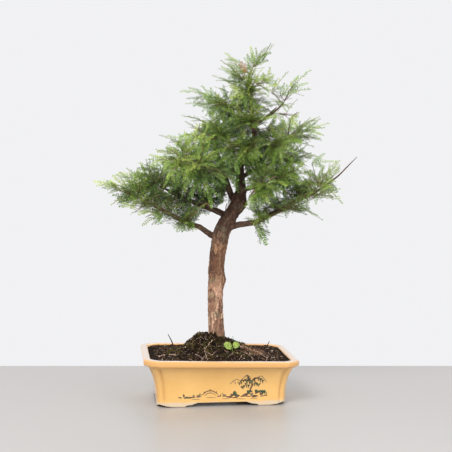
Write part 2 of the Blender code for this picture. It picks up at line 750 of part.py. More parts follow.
def add_seed_leaf(pieces, base, side):
    """Round leaf on a short stalk, lifted at its end and rolled to face the front."""
    bm = bmesh.new()
    bmesh.ops.create_circle(bm, cap_ends=True, segments=10, radius=0.5)
    for vert in bm.verts:
        x = (vert.co.x + SEED_LEAF_START) * SEEDLING_LEAF_LENGTH
        vert.co = Vector((x, vert.co.y * SEEDLING_LEAF_WIDTH, 0))
    bmesh.ops.solidify(bm, geom=bm.faces[:], thickness=BLADE_THICKNESS)
    bmesh.ops.recalc_face_normals(bm, faces=bm.faces)
    turn = Matrix.Rotation(SEED_LEAF_TURNS[side], 4, "Z")
    lift = Matrix.Rotation(-SEED_LEAF_LIFT, 4, "Y")
    roll = Matrix.Rotation(SEED_LEAF_ROLLS[side], 4, "X")
    bm.transform(Matrix.Translation(base) @ turn @ lift @ roll)
    object_from_bmesh("seed_leaf", bm, pieces)


def make_seedling(parts, fresh):
    x, y = SEEDLING_FOOT
    ground = soil_height(x, y)
    foot = Vector((x, y, ground - SEEDLING_SINK))
    top = Vector((x, y, ground + SEEDLING_STEM_HEIGHT))
    radii = (SEEDLING_STEM_RADIUS, TIP_RADIUS)
    seedling = tapered_tube("seedling", (foot, top), radii, 6, parts)
    seedling.data.materials.append(fresh)
    pieces = new_collection("seed_leaves")
    for side in (0, 1):
        add_seed_leaf(pieces, top - Vector((0, 0, TIP_RADIUS)), side)
    fuse(seedling, pieces)
    return seedling


def turn_into_place(tree_pieces):
    turn = Matrix.Rotation(TREE_TURN, 4, "Z")
    for piece in tree_pieces:
        piece.data.transform(turn)


def centre_on_origin(pieces, others):
    """Put the middle of the whole plant's box over the origin."""
    bpy.context.view_layer.update()
    corners = [piece.matrix_world @ Vector(corner)
               for piece in pieces for corner in piece.bound_box]
    middle_x = (min(c.x for c in corners) + max(c.x for c in corners)) / 2
    middle_y = (min(c.y for c in corners) + max(c.y for c in corners)) / 2
    for obj in (*pieces, *others):
        obj.location -= Vector((middle_x, middle_y, 0))
    print(f"pot stands at {-middle_x:.4f}, {-middle_y:.4f}")


def main():
    clear_scene()
    parts = new_collection("dawn_redwood_bonsai")
    cutters = new_collection("cutters", hidden=True)
    glaze = new_material("glaze", (0.83, 0.51, 0.19), 0.25, 0.6)
    earth = new_material("earth", (0.065, 0.040, 0.025), 0.95)
    bark = new_material("bark", (0.25, 0.17, 0.12), 0.85)
    leaf = new_material("leaf", (0.13, 0.22, 0.07), 0.55)
    fresh = new_material("fresh_leaf", (0.28, 0.48, 0.10), 0.5)

    pot = make_pot(parts, cutters, glaze)
    soil = make_soil(parts, cutters, earth)
    wood, starts = make_wood(parts, bark)
    sprays = make_foliage(wood, starts, parts, leaf)
    seedling = make_seedling(parts, fresh)
    turn_into_place([wood, *sprays])
    centre_on_origin([pot, soil, wood, seedling, *sprays], list(cutters.objects))


main()
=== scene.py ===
# %% [markdown]
# # A dawn redwood bonsai
#
# This notebook dresses a plain model of a bonsai: a dawn redwood in a flared yellow pot.
# The plain model has every piece at its real size, but its leaves are few and coarse and
# its bark is smooth. We read each plain piece, and build a finer one in the same place.
# All sizes are in metres, so a value in millimetres is written as a number times `MM`.

# %% Load the plain model
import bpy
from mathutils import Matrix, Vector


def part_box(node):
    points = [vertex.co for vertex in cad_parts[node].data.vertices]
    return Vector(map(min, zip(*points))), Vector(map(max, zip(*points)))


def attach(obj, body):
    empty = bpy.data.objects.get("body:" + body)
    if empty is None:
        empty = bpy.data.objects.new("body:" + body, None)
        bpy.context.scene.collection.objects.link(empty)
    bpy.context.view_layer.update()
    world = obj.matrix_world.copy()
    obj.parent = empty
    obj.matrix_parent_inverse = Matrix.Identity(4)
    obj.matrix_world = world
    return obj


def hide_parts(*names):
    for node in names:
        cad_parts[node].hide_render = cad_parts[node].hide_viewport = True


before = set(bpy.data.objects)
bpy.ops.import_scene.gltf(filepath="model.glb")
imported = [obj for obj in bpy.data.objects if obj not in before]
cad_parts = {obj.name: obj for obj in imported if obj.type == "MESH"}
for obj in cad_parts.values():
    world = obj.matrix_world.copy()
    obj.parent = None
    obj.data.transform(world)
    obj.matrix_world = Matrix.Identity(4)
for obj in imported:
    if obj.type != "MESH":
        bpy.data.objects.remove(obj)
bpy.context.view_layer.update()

import math
import random
from collections import Counter

import bmesh
import bpy
import numpy as np
from mathutils import Matrix, Vector, noise
from mathutils.bvhtree import BVHTree

MM = 0.001
UP = Vector((0, 0, 1))
# noise_vector takes its offsets from this seed, and from the clock if there is none
NOISE_SEED = 1796073598
noise.seed_set(NOISE_SEED)
spray_names = sorted(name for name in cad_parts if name.startswith("spray_"))
pot_low, pot_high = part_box("pot")
pot_centre = Vector(((pot_low.x + pot_high.x) / 2, (pot_low.y + pot_high.y) / 2, 0))
print(len(spray_names), "sprays; the pot's middle is at", tuple(round(v, 4) for v in pot_centre))

# %% [markdown]
# ## Camera
#
# A bonsai is looked at from the front, a little above the pot's rim. A long lens keeps the
# pot's sides nearly parallel. The camera comes first, because a few small roots and twigs
# are placed by where they show in the picture, and that needs its rays.

# %% Camera
# the lens and the middle of the picture in pixels, angles in radians, the rest in metres
IMAGE_PIXELS = 452
LENS_PIXELS = 1002
CAMERA_TURN = -0.1195
CAMERA_DISTANCE = 2.0574
CAMERA_HEIGHT = 0.4227
CAMERA_SIDE = -0.0182
CAMERA_PITCH = 0.0332

SENSOR_WIDTH = 36


def new_object(name, data):
    """Object with this data, in the scene."""
    made = bpy.data.objects.new(name, data)
    bpy.context.scene.collection.objects.link(made)
    return made


camera = bpy.data.cameras.new("camera")
camera.sensor_width = SENSOR_WIDTH
camera.lens = SENSOR_WIDTH * LENS_PIXELS / IMAGE_PIXELS
camera_object = new_object("camera", camera)
camera_right = Vector((math.cos(CAMERA_TURN), math.sin(CAMERA_TURN), 0))
camera_object.location = pot_centre - camera_right * CAMERA_SIDE + Vector((
    math.sin(CAMERA_TURN) * CAMERA_DISTANCE, -math.cos(CAMERA_TURN) * CAMERA_DISTANCE,
    CAMERA_HEIGHT))
camera_object.rotation_euler = (math.pi / 2 - CAMERA_PITCH, 0, CAMERA_TURN)
bpy.context.scene.camera = camera_object
bpy.context.view_layer.update()


def pixel_ray(across, down):
    """Direction from the camera through a place in the picture."""
    middle = IMAGE_PIXELS / 2
    ray = Vector(((across - middle) / LENS_PIXELS, (middle - down) / LENS_PIXELS, -1))
    return (camera_object.matrix_world.to_3x3() @ ray).normalized()


def seen_pixel(place):
    """Where a point shows in the picture."""
    middle = IMAGE_PIXELS / 2
    seen = camera_object.matrix_world.inverted() @ place
    return middle - LENS_PIXELS * seen.x / seen.z, middle + LENS_PIXELS * seen.y / seen.z


print("lens", round(camera.lens, 1), "mm")

# %% [markdown]
# ## Floor and light
#
# Plants look best in broad, soft light, which lets pale light in between the leaves. A
# bright sky does most of the work here, one large lamp from the upper left gives the pot
# and trunk their shape, and a weaker one opens the shadows on the right. The pale floor
# ends a little way behind the pot, like a table top, so that the crown stands against
# nothing but the bright background.

# %% Floor and light
FLOOR_BEHIND = 0.377
FLOOR_BEFORE = 2.6
FLOOR_WIDTH = 6.0
FLOOR_COLOUR = (0.40, 0.385, 0.37, 1)
FLOOR_ROUGHNESS = 0.38
SKY_COLOUR = (0.94, 0.94, 0.955, 1)
SKY_STRENGTH = 0.94
LAMP_TARGET = Vector((0, 0, 0.35))
# name, place, size in metres and power in watts of each square lamp
LAMPS = (("key", (-1.1, -1.9, 2.0), 1.2, 62), ("fill", (1.6, -2.0, 1.0), 1.6, 18),
         ("back", (0.5, 1.6, 1.9), 1.2, 10))

for name, place, size, watts in LAMPS:
    light = bpy.data.lights.new(name, "AREA")
    light.shape = "SQUARE"
    light.size = size
    light.energy = watts
    lamp = new_object(name, light)
    lamp.location = place
    lamp.rotation_euler = (LAMP_TARGET - Vector(place)).to_track_quat("-Z", "Y").to_euler()

world = bpy.data.worlds.new("studio")
bpy.context.scene.world = world
world.use_nodes = True
sky = world.node_tree.nodes["Background"].inputs
sky["Color"].default_value = SKY_COLOUR
sky["Strength"].default_value = SKY_STRENGTH
bpy.context.scene.view_settings.view_transform = "Standard"


def new_mesh(name, bm):
    """Mesh of a bmesh, which is freed."""
    mesh = bpy.data.meshes.new(name)
    bm.to_mesh(mesh)
    bm.free()
    return mesh


bm = bmesh.new()
floor_place = (Matrix.Translation(pot_centre) @ Matrix.Rotation(CAMERA_TURN, 4, "Z")
               @ Matrix.Translation((0, (FLOOR_BEHIND - FLOOR_BEFORE) / 2, 0))
               @ Matrix.Diagonal((FLOOR_WIDTH, FLOOR_BEHIND + FLOOR_BEFORE, 1, 1)))
bmesh.ops.create_grid(bm, x_segments=1, y_segments=1, size=0.5, matrix=floor_place)
floor = new_object("floor", new_mesh("floor", bm))
floor_paint = bpy.data.materials.new("floor_paint")
floor_paint.use_nodes = True
floor_shader = floor_paint.node_tree.nodes["Principled BSDF"].inputs
floor_shader["Base Color"].default_value = FLOOR_COLOUR
floor_shader["Roughness"].default_value = FLOOR_ROUGHNESS
floor.data.materials.append(floor_paint)
print(len(LAMPS), "lamps and a floor", FLOOR_WIDTH, "m wide")

# %% [markdown]
# ## Helpers
#
# A few helpers are used all through. `finish_piece` turns a bmesh into an object that
# rides with the plant. `tube` sweeps a thin round stem, ring by ring, with
# `create_circle` and `bridge_loops`. Colours are typed as on a colour picker (0 to 255)
# and turned into the linear light values that a shader works with.

# %% Helpers
def srgb(red, green, blue):
    """Linear colour of a picker colour."""
    linear = []
    for value in (red, green, blue):
        share = value / 255
        linear.append(share / 12.92 if share <= 0.04045 else ((share + 0.055) / 1.055) ** 2.4)
    return (*linear, 1.0)


def finish_piece(name, bm, material, smooth=True):
    """Make the bmesh an object that rides with the plant."""
    piece = new_object(name, new_mesh(name, bm))
    for polygon in piece.data.polygons:
        polygon.use_smooth = smooth
    piece.data.materials.append(material)
    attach(piece, "root")
    return piece


def new_bmesh(*layers):
    """Empty bmesh whose vertices carry a number under each of these names."""
    bm = bmesh.new()
    for name in layers:
        bm.verts.layers.float.new(name)
    return bm


def add_float(bm, name, verts, value):
    """Write one number into the named layer of some vertices."""
    layer = bm.verts.layers.float[name]
    for vert in verts:
        vert[layer] = value


def tube(bm, points, radii, sides):
    """Closed round stem through the points. Returns its vertices."""
    rings = []
    for i, (point, radius) in enumerate(zip(points, radii)):
        ahead = points[min(i + 1, len(points) - 1)] - points[max(i - 1, 0)]
        turn = ahead.to_track_quat("Z", "Y").to_matrix().to_4x4()
        made = bmesh.ops.create_circle(bm, segments=sides, radius=radius,
                                       matrix=Matrix.Translation(point) @ turn)
        rings.append(made["verts"])
    edges = [sorted({edge for vert in ring for edge in vert.link_edges},
                    key=lambda edge: edge.index) for ring in rings]
    for lower, upper in zip(edges, edges[1:]):
        bmesh.ops.bridge_loops(bm, edges=lower + upper)
    for ring in (rings[0], rings[-1]):
        bmesh.ops.contextual_create(bm, geom=ring)
    verts = [vert for ring in rings for vert in ring]
    faces = list({face for vert in verts for face in vert.link_faces})
    bmesh.ops.recalc_face_normals(bm, faces=faces)
    return verts


def smooth_line(points, pieces):
    """Points on a soft curve through a few given ones."""
    ends = [2 * points[0] - points[1], *points, 2 * points[-1] - points[-2]]
    result = [points[0].copy()]
    for before, start, end, after in zip(ends, ends[1:], ends[2:], ends[3:]):
        for i in range(1, pieces + 1):
            t = i / pieces
            result.append(0.5 * (2 * start + (end - before) * t
                                 + (2 * before - 5 * start + 4 * end - after) * t ** 2
                                 + (3 * start - before - 3 * end + after) * t ** 3))
    return result


def smoothstep(low, high, value):
    """0 before low, 1 past high, and a soft rise between them."""
    share = min(1.0, max(0.0, (value - low) / (high - low)))
    return share * share * (3 - 2 * share)


def sliver(bm, points):
    """Smallest closed body round a few points, such as a needle or a leaflet."""
    verts = [bm.verts.new(point) for point in points]
    bmesh.ops.convex_hull(bm, input=verts)
    return verts


print("helpers ready")

# %% [markdown]
# ## Shared shader effects
#
# Nothing grown or fired has one flat colour. `mottle` is a node group that blends two
# colours by soft noise, and every material below uses it with its own colours and scale.
# `grain` makes a height value for small bumps. A group only hands out colours and numbers,
# so each material keeps its own Principled shader.

# %% Mottle and grain groups
def set_input(tree, socket, value):
    """Give an input a plain value, or link it to the output of another node."""
    if isinstance(value, bpy.types.NodeSocket):
        tree.links.new(value, socket)
    else:
        socket.default_value = value


def add_node(tree, kind, **inputs):
    """New node with some of its inputs set or linked. An underscore stands for a space."""
    node = tree.nodes.new(kind)
    for name, value in inputs.items():
        set_input(tree, node.inputs[name.replace("_", " ")], value)
    return node


def mix_colour(tree, factor, first, second, blend="MIX"):
    """Colour mix. Each colour is a socket or a plain value, and so is the factor."""
    node = tree.nodes.new("ShaderNodeMix")
    node.data_type = "RGBA"
    node.blend_type = blend
    for number, value in ((0, factor), (6, first), (7, second)):
        set_input(tree, node.inputs[number], value)
    return node.outputs[2]


def new_group(name, inputs, output, output_kind):
    """Empty node group with its inputs and one output. Returns it with both ends."""
    group = bpy.data.node_groups.new(name, "ShaderNodeTree")
    for label, kind in inputs.items():
        group.interface.new_socket(label, in_out="INPUT", socket_type="NodeSocket" + kind)
    group.interface.new_socket(output, in_out="OUTPUT", socket_type="NodeSocket" + output_kind)
    return group, group.nodes.new("NodeGroupInput").outputs, group.nodes.new("NodeGroupOutput").inputs


mottle, given, result = new_group(
    "mottle", {"Vector": "Vector", "Scale": "Float", "Dark": "Color", "Light": "Color"},
    "Colour", "Color")
cloud = add_node(mottle, "ShaderNodeTexNoise", Vector=given["Vector"], Scale=given["Scale"],
                 Detail=5.0, Roughness=0.6)
spread = add_node(mottle, "ShaderNodeMapRange", Value=cloud.outputs["Fac"], From_Min=0.32,
                  From_Max=0.68)
blend = mix_colour(mottle, spread.outputs["Result"], given["Dark"], given["Light"])
set_input(mottle, result["Colour"], blend)

grain, given, result = new_group(
    "grain", {"Vector": "Vector", "Coarse": "Float", "Fine": "Float"}, "Height", "Float")
total = grain.nodes.new("ShaderNodeMath")
total.operation = "ADD"
for number, (name, detail) in enumerate((("Coarse", 3.0), ("Fine", 4.0))):
    cloud = add_node(grain, "ShaderNodeTexNoise", Vector=given["Vector"], Scale=given[name],
                     Detail=detail)
    set_input(grain, total.inputs[number], cloud.outputs["Fac"])
set_input(grain, result["Height"], total.outputs["Value"])


def use_group(tree, group, output, **inputs):
    """Place a group in a material with its own values. Returns one output."""
    node = tree.nodes.new("ShaderNodeGroup")
    node.node_tree = group
    for name, value in inputs.items():
        set_input(tree, node.inputs[name], value)
    return node.outputs[output]


print("groups:", mottle.name, grain.name)

# %% [markdown]
# Most materials share the same skeleton: a mottled colour, a roughness, and a small bump.
# `natural_material` builds it, and `tree_and_colour` lets a later cell add to it.
# `toned_material` adds what most need: a colour that follows an attribute of the mesh.

# %% Material skeleton
def attribute(tree, name):
    """Number that the mesh carries under a name."""
    node = tree.nodes.new("ShaderNodeAttribute")
    node.attribute_name = name
    return node.outputs["Fac"]


def ramp(tree, value, stops):
    """Colour ramp through (position, colour) stops."""
    node = tree.nodes.new("ShaderNodeValToRGB")
    elements = node.color_ramp.elements
    elements[0].position, elements[0].color = stops[0]
    elements[1].position, elements[1].color = stops[-1]
    for position, colour in stops[1:-1]:
        elements.new(position).color = colour
    set_input(tree, node.inputs["Fac"], value)
    return node.outputs["Color"]


def object_place(tree):
    """Place on the object, in metres."""
    return tree.nodes.new("ShaderNodeTexCoord").outputs["Object"]


def natural_material(name, dark, light, scale, roughness, bump=0.0, bump_scales=(300.0, 1200.0),
                     stretch=(1, 1, 1), specular=0.5):
    """Material with mottled colour and a fine bump."""
    material = bpy.data.materials.new(name)
    material.use_nodes = True
    tree = material.node_tree
    shader = tree.nodes["Principled BSDF"].inputs
    shader["Roughness"].default_value = roughness
    shader["Specular IOR Level"].default_value = specular
    mapping = add_node(tree, "ShaderNodeMapping", Vector=object_place(tree), Scale=stretch)
    vector = mapping.outputs["Vector"]
    colour = use_group(tree, mottle, "Colour", Vector=vector, Scale=scale, Dark=dark, Light=light)
    set_colour(tree, colour)
    if bump:
        height = use_group(tree, grain, "Height", Vector=vector, Coarse=bump_scales[0],
                           Fine=bump_scales[1])
        bump_node = add_node(tree, "ShaderNodeBump", Strength=bump, Distance=MM, Height=height)
        set_input(tree, shader["Normal"], bump_node.outputs["Normal"])
    return material


def set_colour(tree, colour):
    set_input(tree, tree.nodes["Principled BSDF"].inputs["Base Color"], colour)


def tree_and_colour(material):
    """A material's tree and what feeds its colour so far."""
    tree = material.node_tree
    return tree, tree.nodes["Principled BSDF"].inputs["Base Color"].links[0].from_socket


def toned_material(name, dark, light, scale, roughness, layer, stops, mottled, **finish):
    """Natural material whose colour follows a number on the mesh, through a colour ramp."""
    material = natural_material(name, dark, light, scale, roughness, **finish)
    tree, colour = tree_and_colour(material)
    tones = ramp(tree, attribute(tree, layer), stops)
    set_colour(tree, mix_colour(tree, mottled, tones, colour))
    return material


print("material skeleton ready")

# %% [markdown]
# ## Pot
#
# The pot is thrown from slabs of clay, with a rolled rim, a softly hollow flare and posts
# at its corners that stand between two grooves. Glaze rounds every edge, so the outline
# and the profile are both drawn with few points and then softened by cutting corners
# twice. The wall is one loop of edges, extruded up the outside, over the lip and down the
# inside, which keeps the faces in tidy rows for the highlights.

# %% Pot outline and profile
# an inset is measured in from the rim's edge, and the neck is where the flare meets the rim
POT_HALF_WIDTH = 155 * MM
POT_HALF_DEPTH = 116 * MM
NECK_HEIGHT = 78.2 * MM
POT_HEIGHT = 93.2 * MM
NECK_INSET = 9.4 * MM
BASE_INSET = 26.6 * MM
FLARE_POWER = 2.8
FLARE_LEVELS = 14
RECESS_INSET = 40.6 * MM
FOOT_HEIGHT = 9.0 * MM
FLOOR_TOP = 17.0 * MM
# slopes by which the kiln has lowered the rim to the right and raised it to the back
WARP_SLOPE = 0.0255
BACK_RISE = 0.0147
# size of a corner with its post at two heights, and depth of its grooves as a share of it
CORNER_AT_RIM = 24.5 * MM
CORNER_AT_BASE = 14.0 * MM
GROOVE = 0.22
FOOT_EDGE = 1.2 * MM
# inset and height in millimetres, depth of the corner grooves as a share of the corner
FOOT_PROFILE = ((40.6, 8.9, 0.0), (40.6, 1.2, 0.0), (39.4, 0.0, 0.0), (28.4, 0.0, 0.1))
RIM_PROFILE = ((8.9, 78.9, 0.16), (3.0, 79.7, 0.08), (0.1, 82.2, 0.06), (0.0, 87.0, 0.06),
               (0.1, 90.8, 0.06), (2.4, 93.1, 0.05), (8.0, 93.2, 0.04), (12.4, 92.7, 0.03),
               (14.8, 90.2, 0.02), (17.0, 84.0, 0.0), (25.5, 64.0, 0.0), (32.0, 40.0, 0.0),
               (34.6, 19.5, 0.0), (38.0, 17.0, 0.0))


def soften(points, rounds=2):
    """Cut the corners of an open line, keeping its ends."""
    for _ in range(rounds):
        cut = [points[0]]
        for a, b in zip(points, points[1:]):
            cut.append(a.lerp(b, 0.25))
            cut.append(a.lerp(b, 0.75))
        cut.append(points[-1])
        points = cut
    return points


def wall_inset(height):
    """How far the flared wall stands in from the rim's edge at a height."""
    return BASE_INSET - (BASE_INSET - NECK_INSET) * (height / NECK_HEIGHT) ** FLARE_POWER


def corner_size(inset):
    """Size of the corner where the wall stands in this far."""
    return CORNER_AT_RIM + (CORNER_AT_BASE - CORNER_AT_RIM) * min(inset / BASE_INSET, 1.0)


def pot_profile():
    """(inset, height, groove) from the recess under the pot, outside and over to the floor."""
    foot, rim = ([Vector((inset * MM, height * MM, groove)) for inset, height, groove in rows]
                 for rows in (FOOT_PROFILE, RIM_PROFILE))
    heights = [NECK_HEIGHT * i / FLARE_LEVELS for i in range(FLARE_LEVELS + 1)]
    wall = [Vector((wall_inset(height), max(height, FOOT_EDGE), GROOVE)) for height in heights]
    return soften(foot + wall[:2], 1)[:-1] + wall[2:-2] + soften(wall[-2:] + rim)


profile = pot_profile()
print(len(profile), "rows from the recess to the inner floor")

# %% Pot rings
# number of spans in the straight part of the front and of a side
STRAIGHT_FRONT = 88
STRAIGHT_SIDE = 60
# one more point this far before each corner keeps the straight part straight
EDGE_HELPER = 3 * MM
# the post's outline is an arc, with its middle and radius as shares of the corner's size
POST_DEGREES = (-8, 25, 65, 98)
POST_MIDDLE = 0.72
POST_RADIUS = 0.56
# the same four points where the corner is cut off plainly
PLAIN_CORNER = ((0.15, 0.85), (0.36, 0.60), (0.60, 0.36), (0.85, 0.15))
# where the level seat of a foot ends, from the pot's middle
SEAT_FRONT = POT_HALF_WIDTH - BASE_INSET - 54 * MM
SEAT_SIDE = POT_HALF_DEPTH - BASE_INSET - 46 * MM
# how far a foot curls up at its outer corner, and how far from the corner the curl starts
CORNER_LIFT = 7.5 * MM
CORNER_REACH = 38 * MM
GROOVE_SHADE_REACH = 0.42
# cloud-shaped gap between two feet: distance past the seat's end in millimetres, share of
# the foot's height
BRACKET = ((0.0, 0.0), (6.0, 0.34), (14.0, 0.42), (19.0, 0.66), (27.0, 0.97))


def corner_line(half_width, half_depth, corner, groove):
    """Softened line round the corner at +X +Y: panel end, groove, post, groove, panel end.
    Where the grooves are shallow, the corner is cut off plainly instead."""
    reach = 1.10 * corner
    post_share = min(1.0, groove / corner / GROOVE)
    points = [(half_width, half_depth - reach - EDGE_HELPER), (half_width, half_depth - reach),
              (half_width - groove, half_depth - corner)]
    for degrees, plain in zip(POST_DEGREES, PLAIN_CORNER):
        turn = math.radians(degrees)
        post = Vector((POST_MIDDLE - POST_RADIUS * math.cos(turn),
                       POST_MIDDLE - POST_RADIUS * math.sin(turn)))
        inset = Vector(plain).lerp(post, post_share) * corner
        points.append((half_width - inset.x, half_depth - inset.y))
    points += [(half_width - corner, half_depth - groove), (half_width - reach, half_depth),
               (half_width - reach - EDGE_HELPER, half_depth)]
    return soften([Vector(point) for point in points])


def bracket_height(past):
    """Height of the gap's edge at a distance past the seat's end."""
    past = past / MM
    if past <= 0:
        return 0.0
    for (start, low), (end, high) in zip(BRACKET, BRACKET[1:]):
        if past < end:
            return FOOT_HEIGHT * (low + (high - low) * smoothstep(start, end, past))
    return FOOT_HEIGHT * BRACKET[-1][1]


def corner_lift(from_side, from_front):
    """How far a foot curls up towards its outer corner."""
    near = 1 - max(from_side, from_front) / CORNER_REACH
    return CORNER_LIFT * max(0.0, near) ** 2


def warp(x, y):
    """How far the kiln has raised the rim at a place, measured from the pot's middle."""
    return BACK_RISE * (y + POT_HALF_DEPTH) - WARP_SLOPE * x


def pot_ring(inset, height, groove):
    """Points round the pot at one row of its profile."""
    half_width = POT_HALF_WIDTH - inset
    half_depth = POT_HALF_DEPTH - inset
    corner = corner_size(inset)
    first = corner_line(half_width, half_depth, corner, groove * corner)
    second = [Vector((-p.x, p.y)) for p in reversed(first)]
    half = list(first)
    half += [first[-1].lerp(second[0], i / STRAIGHT_FRONT) for i in range(1, STRAIGHT_FRONT)]
    half += second
    third = -first[0]
    half += [second[-1].lerp(third, i / STRAIGHT_SIDE) for i in range(1, STRAIGHT_SIDE)]
    ring = []
    for point in half + [-p for p in half]:
        on_front = half_depth - abs(point.y) < half_width - abs(point.x)
        past = SEAT_FRONT - abs(point.x) if on_front else SEAT_SIDE - abs(point.y)
        lift = max(bracket_height(past),
                   corner_lift(half_width - abs(point.x), half_depth - abs(point.y)))
        level = height
        if height < FOOT_HEIGHT:
            level = lift + height * (FOOT_HEIGHT - lift) / FOOT_HEIGHT
        level += warp(point.x, point.y) * max(0.0, (level - FLOOR_TOP) / (POT_HEIGHT - FLOOR_TOP))
        ring.append(pot_centre + Vector((point.x, point.y, level)))
    return ring


def true_height(place):
    """Height that a place on the pot would have if the pot hadn't warped."""
    if place.z < FLOOR_TOP:
        return place.z
    slope = warp(place.x - pot_centre.x, place.y - pot_centre.y) / (POT_HEIGHT - FLOOR_TOP)
    return (place.z + slope * FLOOR_TOP) / (1 + slope)


def groove_shade(place):
    """Mask for painted shade: 1 in the groove beside a corner post and 0 away from it."""
    inset = wall_inset(max(0.0, min(true_height(place), NECK_HEIGHT)))
    from_side = POT_HALF_WIDTH - inset - abs(place.x - pot_centre.x)
    from_front = POT_HALF_DEPTH - inset - abs(place.y - pot_centre.y)
    across = max(from_side, from_front) / corner_size(inset)
    return max(0.0, 1 - abs(across - 1.0) / GROOVE_SHADE_REACH)


print(len(pot_ring(*profile[0])), "points a ring")

# %% Pot body
bm = bmesh.new()
verts = [bm.verts.new(point) for point in pot_ring(*profile[0])]
edges = [bm.edges.new(pair) for pair in zip(verts, verts[1:] + verts[:1])]
bmesh.ops.contextual_create(bm, geom=edges)
bm.verts.ensure_lookup_table()
for row in profile[1:]:
    start = len(bm.verts)
    edges = [g for g in bmesh.ops.extrude_edge_only(bm, edges=edges)["geom"]
             if isinstance(g, bmesh.types.BMEdge)]
    bm.verts.ensure_lookup_table()
    for vert, point in zip(bm.verts[start:], pot_ring(*row)):
        vert.co = point
bmesh.ops.contextual_create(bm, geom=edges)
bmesh.ops.recalc_face_normals(bm, faces=bm.faces)
# the lip gets a mask for a painted reflection, the grooves one for painted shade, and the rim one for
# its deeper glaze
for name in ("lip_reflection", "groove", "rim"):
    bm.verts.layers.float.new(name)
for vert in bm.verts:
    height = true_height(vert.co) / MM
    add_float(bm, "lip_reflection", [vert], smoothstep(91.9, 93.2, height))
    on_wall = smoothstep(80, 74, height) * smoothstep(9, 20, height)
    add_float(bm, "groove", [vert], on_wall * groove_shade(vert.co))
    add_float(bm, "rim", [vert], smoothstep(77, 81, height))
print("pot:", len(bm.faces), "faces")

# %% [markdown]
# The glaze is a warm buff yellow, and it gathers in a cream line along the feet. The lip is
# painted a pale pinkish grey as a reflection of the bright room, and the hollows beside the
# corner posts are painted darker as shade. An attribute on the lip, one in the hollows, and
# the height above the table with noise on it place these colours.

# %% Glaze
RUN_DEPTH = 9 * MM
glaze = natural_material(
    "buff_glaze", srgb(226, 176, 100), srgb(238, 190, 116), 9.0, 0.22, bump=0.035,
    bump_scales=(28.0, 160.0))
tree, colour = tree_and_colour(glaze)
shader = tree.nodes["Principled BSDF"].inputs
shader["Coat Weight"].default_value = 0.8
shader["Coat Roughness"].default_value = 0.06
place = object_place(tree)
height = add_node(tree, "ShaderNodeSeparateXYZ", Vector=place)
ripple = add_node(tree, "ShaderNodeTexNoise", Vector=place, Scale=42.0, Detail=2.0)
wave = tree.nodes.new("ShaderNodeMath")
wave.operation = "MULTIPLY_ADD"
for number, value in enumerate((ripple.outputs["Fac"], RUN_DEPTH, height.outputs["Z"])):
    set_input(tree, wave.inputs[number], value)
foot_mask = add_node(tree, "ShaderNodeMapRange", Value=wave.outputs["Value"],
                     From_Min=16 * MM, From_Max=11.5 * MM)
# painted shade: the glaze is darkened in the hollows beside the corner posts
painted_groove_shade = add_node(tree, "ShaderNodeMapRange", Value=attribute(tree, "groove"), To_Max=0.6)
# the rim's deeper glaze, painted shade in the hollows, the cream foot, and a painted reflection on
# the lip
for mask, tint_and_light in ((attribute(tree, "rim"), srgb(218, 165, 98)),
                   (painted_groove_shade.outputs["Result"], srgb(206, 152, 84)),
                   (foot_mask.outputs["Result"], srgb(214, 193, 162)),
                   (attribute(tree, "lip_reflection"), srgb(202, 178, 157))):
    colour = mix_colour(tree, mask, colour, tint_and_light)
set_colour(tree, colour)

# %% [markdown]
# Water has to get out, so the floor has two round holes. Each is cut with a boolean by a
# plain cylinder, which is removed again.

# %% Drainage holes
DRAIN_RADIUS = 8 * MM
DRAIN_SPACING = 70 * MM


def evaluated_mesh(piece):
    """New mesh of an object as its modifiers leave it."""
    graph = bpy.context.evaluated_depsgraph_get()
    return bpy.data.meshes.new_from_object(piece.evaluated_get(graph))


pot = finish_piece("glazed_pot", bm, glaze)
for side in (-1, 1):
    bm = bmesh.new()
    place = pot_centre + Vector((side * DRAIN_SPACING, 0, FLOOR_TOP / 2))
    bmesh.ops.create_cone(bm, cap_ends=True, segments=32, radius1=DRAIN_RADIUS,
                          radius2=DRAIN_RADIUS, depth=FLOOR_TOP * 2, matrix=Matrix.Translation(place))
    cutter = new_object("drain_cutter", new_mesh("drain_cutter", bm))
    hole = pot.modifiers.new("drain", "BOOLEAN")
    hole.operation = "DIFFERENCE"
    hole.object = cutter
    cut_mesh = evaluated_mesh(pot)
    pot.modifiers.clear()
    pot.data = cut_mesh
    bpy.data.objects.remove(cutter)
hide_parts("pot")
print("glazed pot:", len(pot.data.polygons), "faces")

# %% [markdown]
# ## Soil
#
# The tree's old root ball stands in the pot as a mound of dark, crumbly earth. We copy
# the plain soil, split its top into small faces, smooth it, and push every point up or
# down by noise at three sizes: lumps, crumbs and grit. Only the top is touched.

# %% Soil bed
# size and height of the lumps, crumbs and grit
LUMPS = ((0.016, 1.8 * MM), (0.0064, 2.3 * MM), (0.0030, 1.6 * MM))
TOP_CUTS = 7
SMOOTH_ROUNDS = 14
SOIL_LEVEL = 80 * MM
# earth heaped against the trunk: middle, half widths and height in millimetres
HUMPS = ((-7, -16, 13, 11, 8.0), (10, -20, 12, 12, 4.0), (-30, 0, 12, 20, -3.0))
# how much rougher the mound is than the bed, and the heights between which that starts
MOUND_ROUGHNESS = 1.2
MOUND_HEIGHTS = (94 * MM, 106 * MM)
SOIL_SPREAD = 1.012


def merged_copy(node):
    """Bmesh of a plain piece, its loose triangles merged."""
    bm = bmesh.new()
    bm.from_mesh(node.data)
    bmesh.ops.remove_doubles(bm, verts=bm.verts, dist=0.01 * MM)
    return bm


def smooth(bm, verts, rounds):
    """Move each point towards the middle of its neighbours, a few times."""
    for _ in range(rounds):
        bmesh.ops.smooth_vert(bm, verts=verts, factor=0.5, use_axis_x=True, use_axis_y=True,
                              use_axis_z=True)


def on_top(face):
    return face.normal.z > 0.3 and face.calc_center_median().z > SOIL_LEVEL


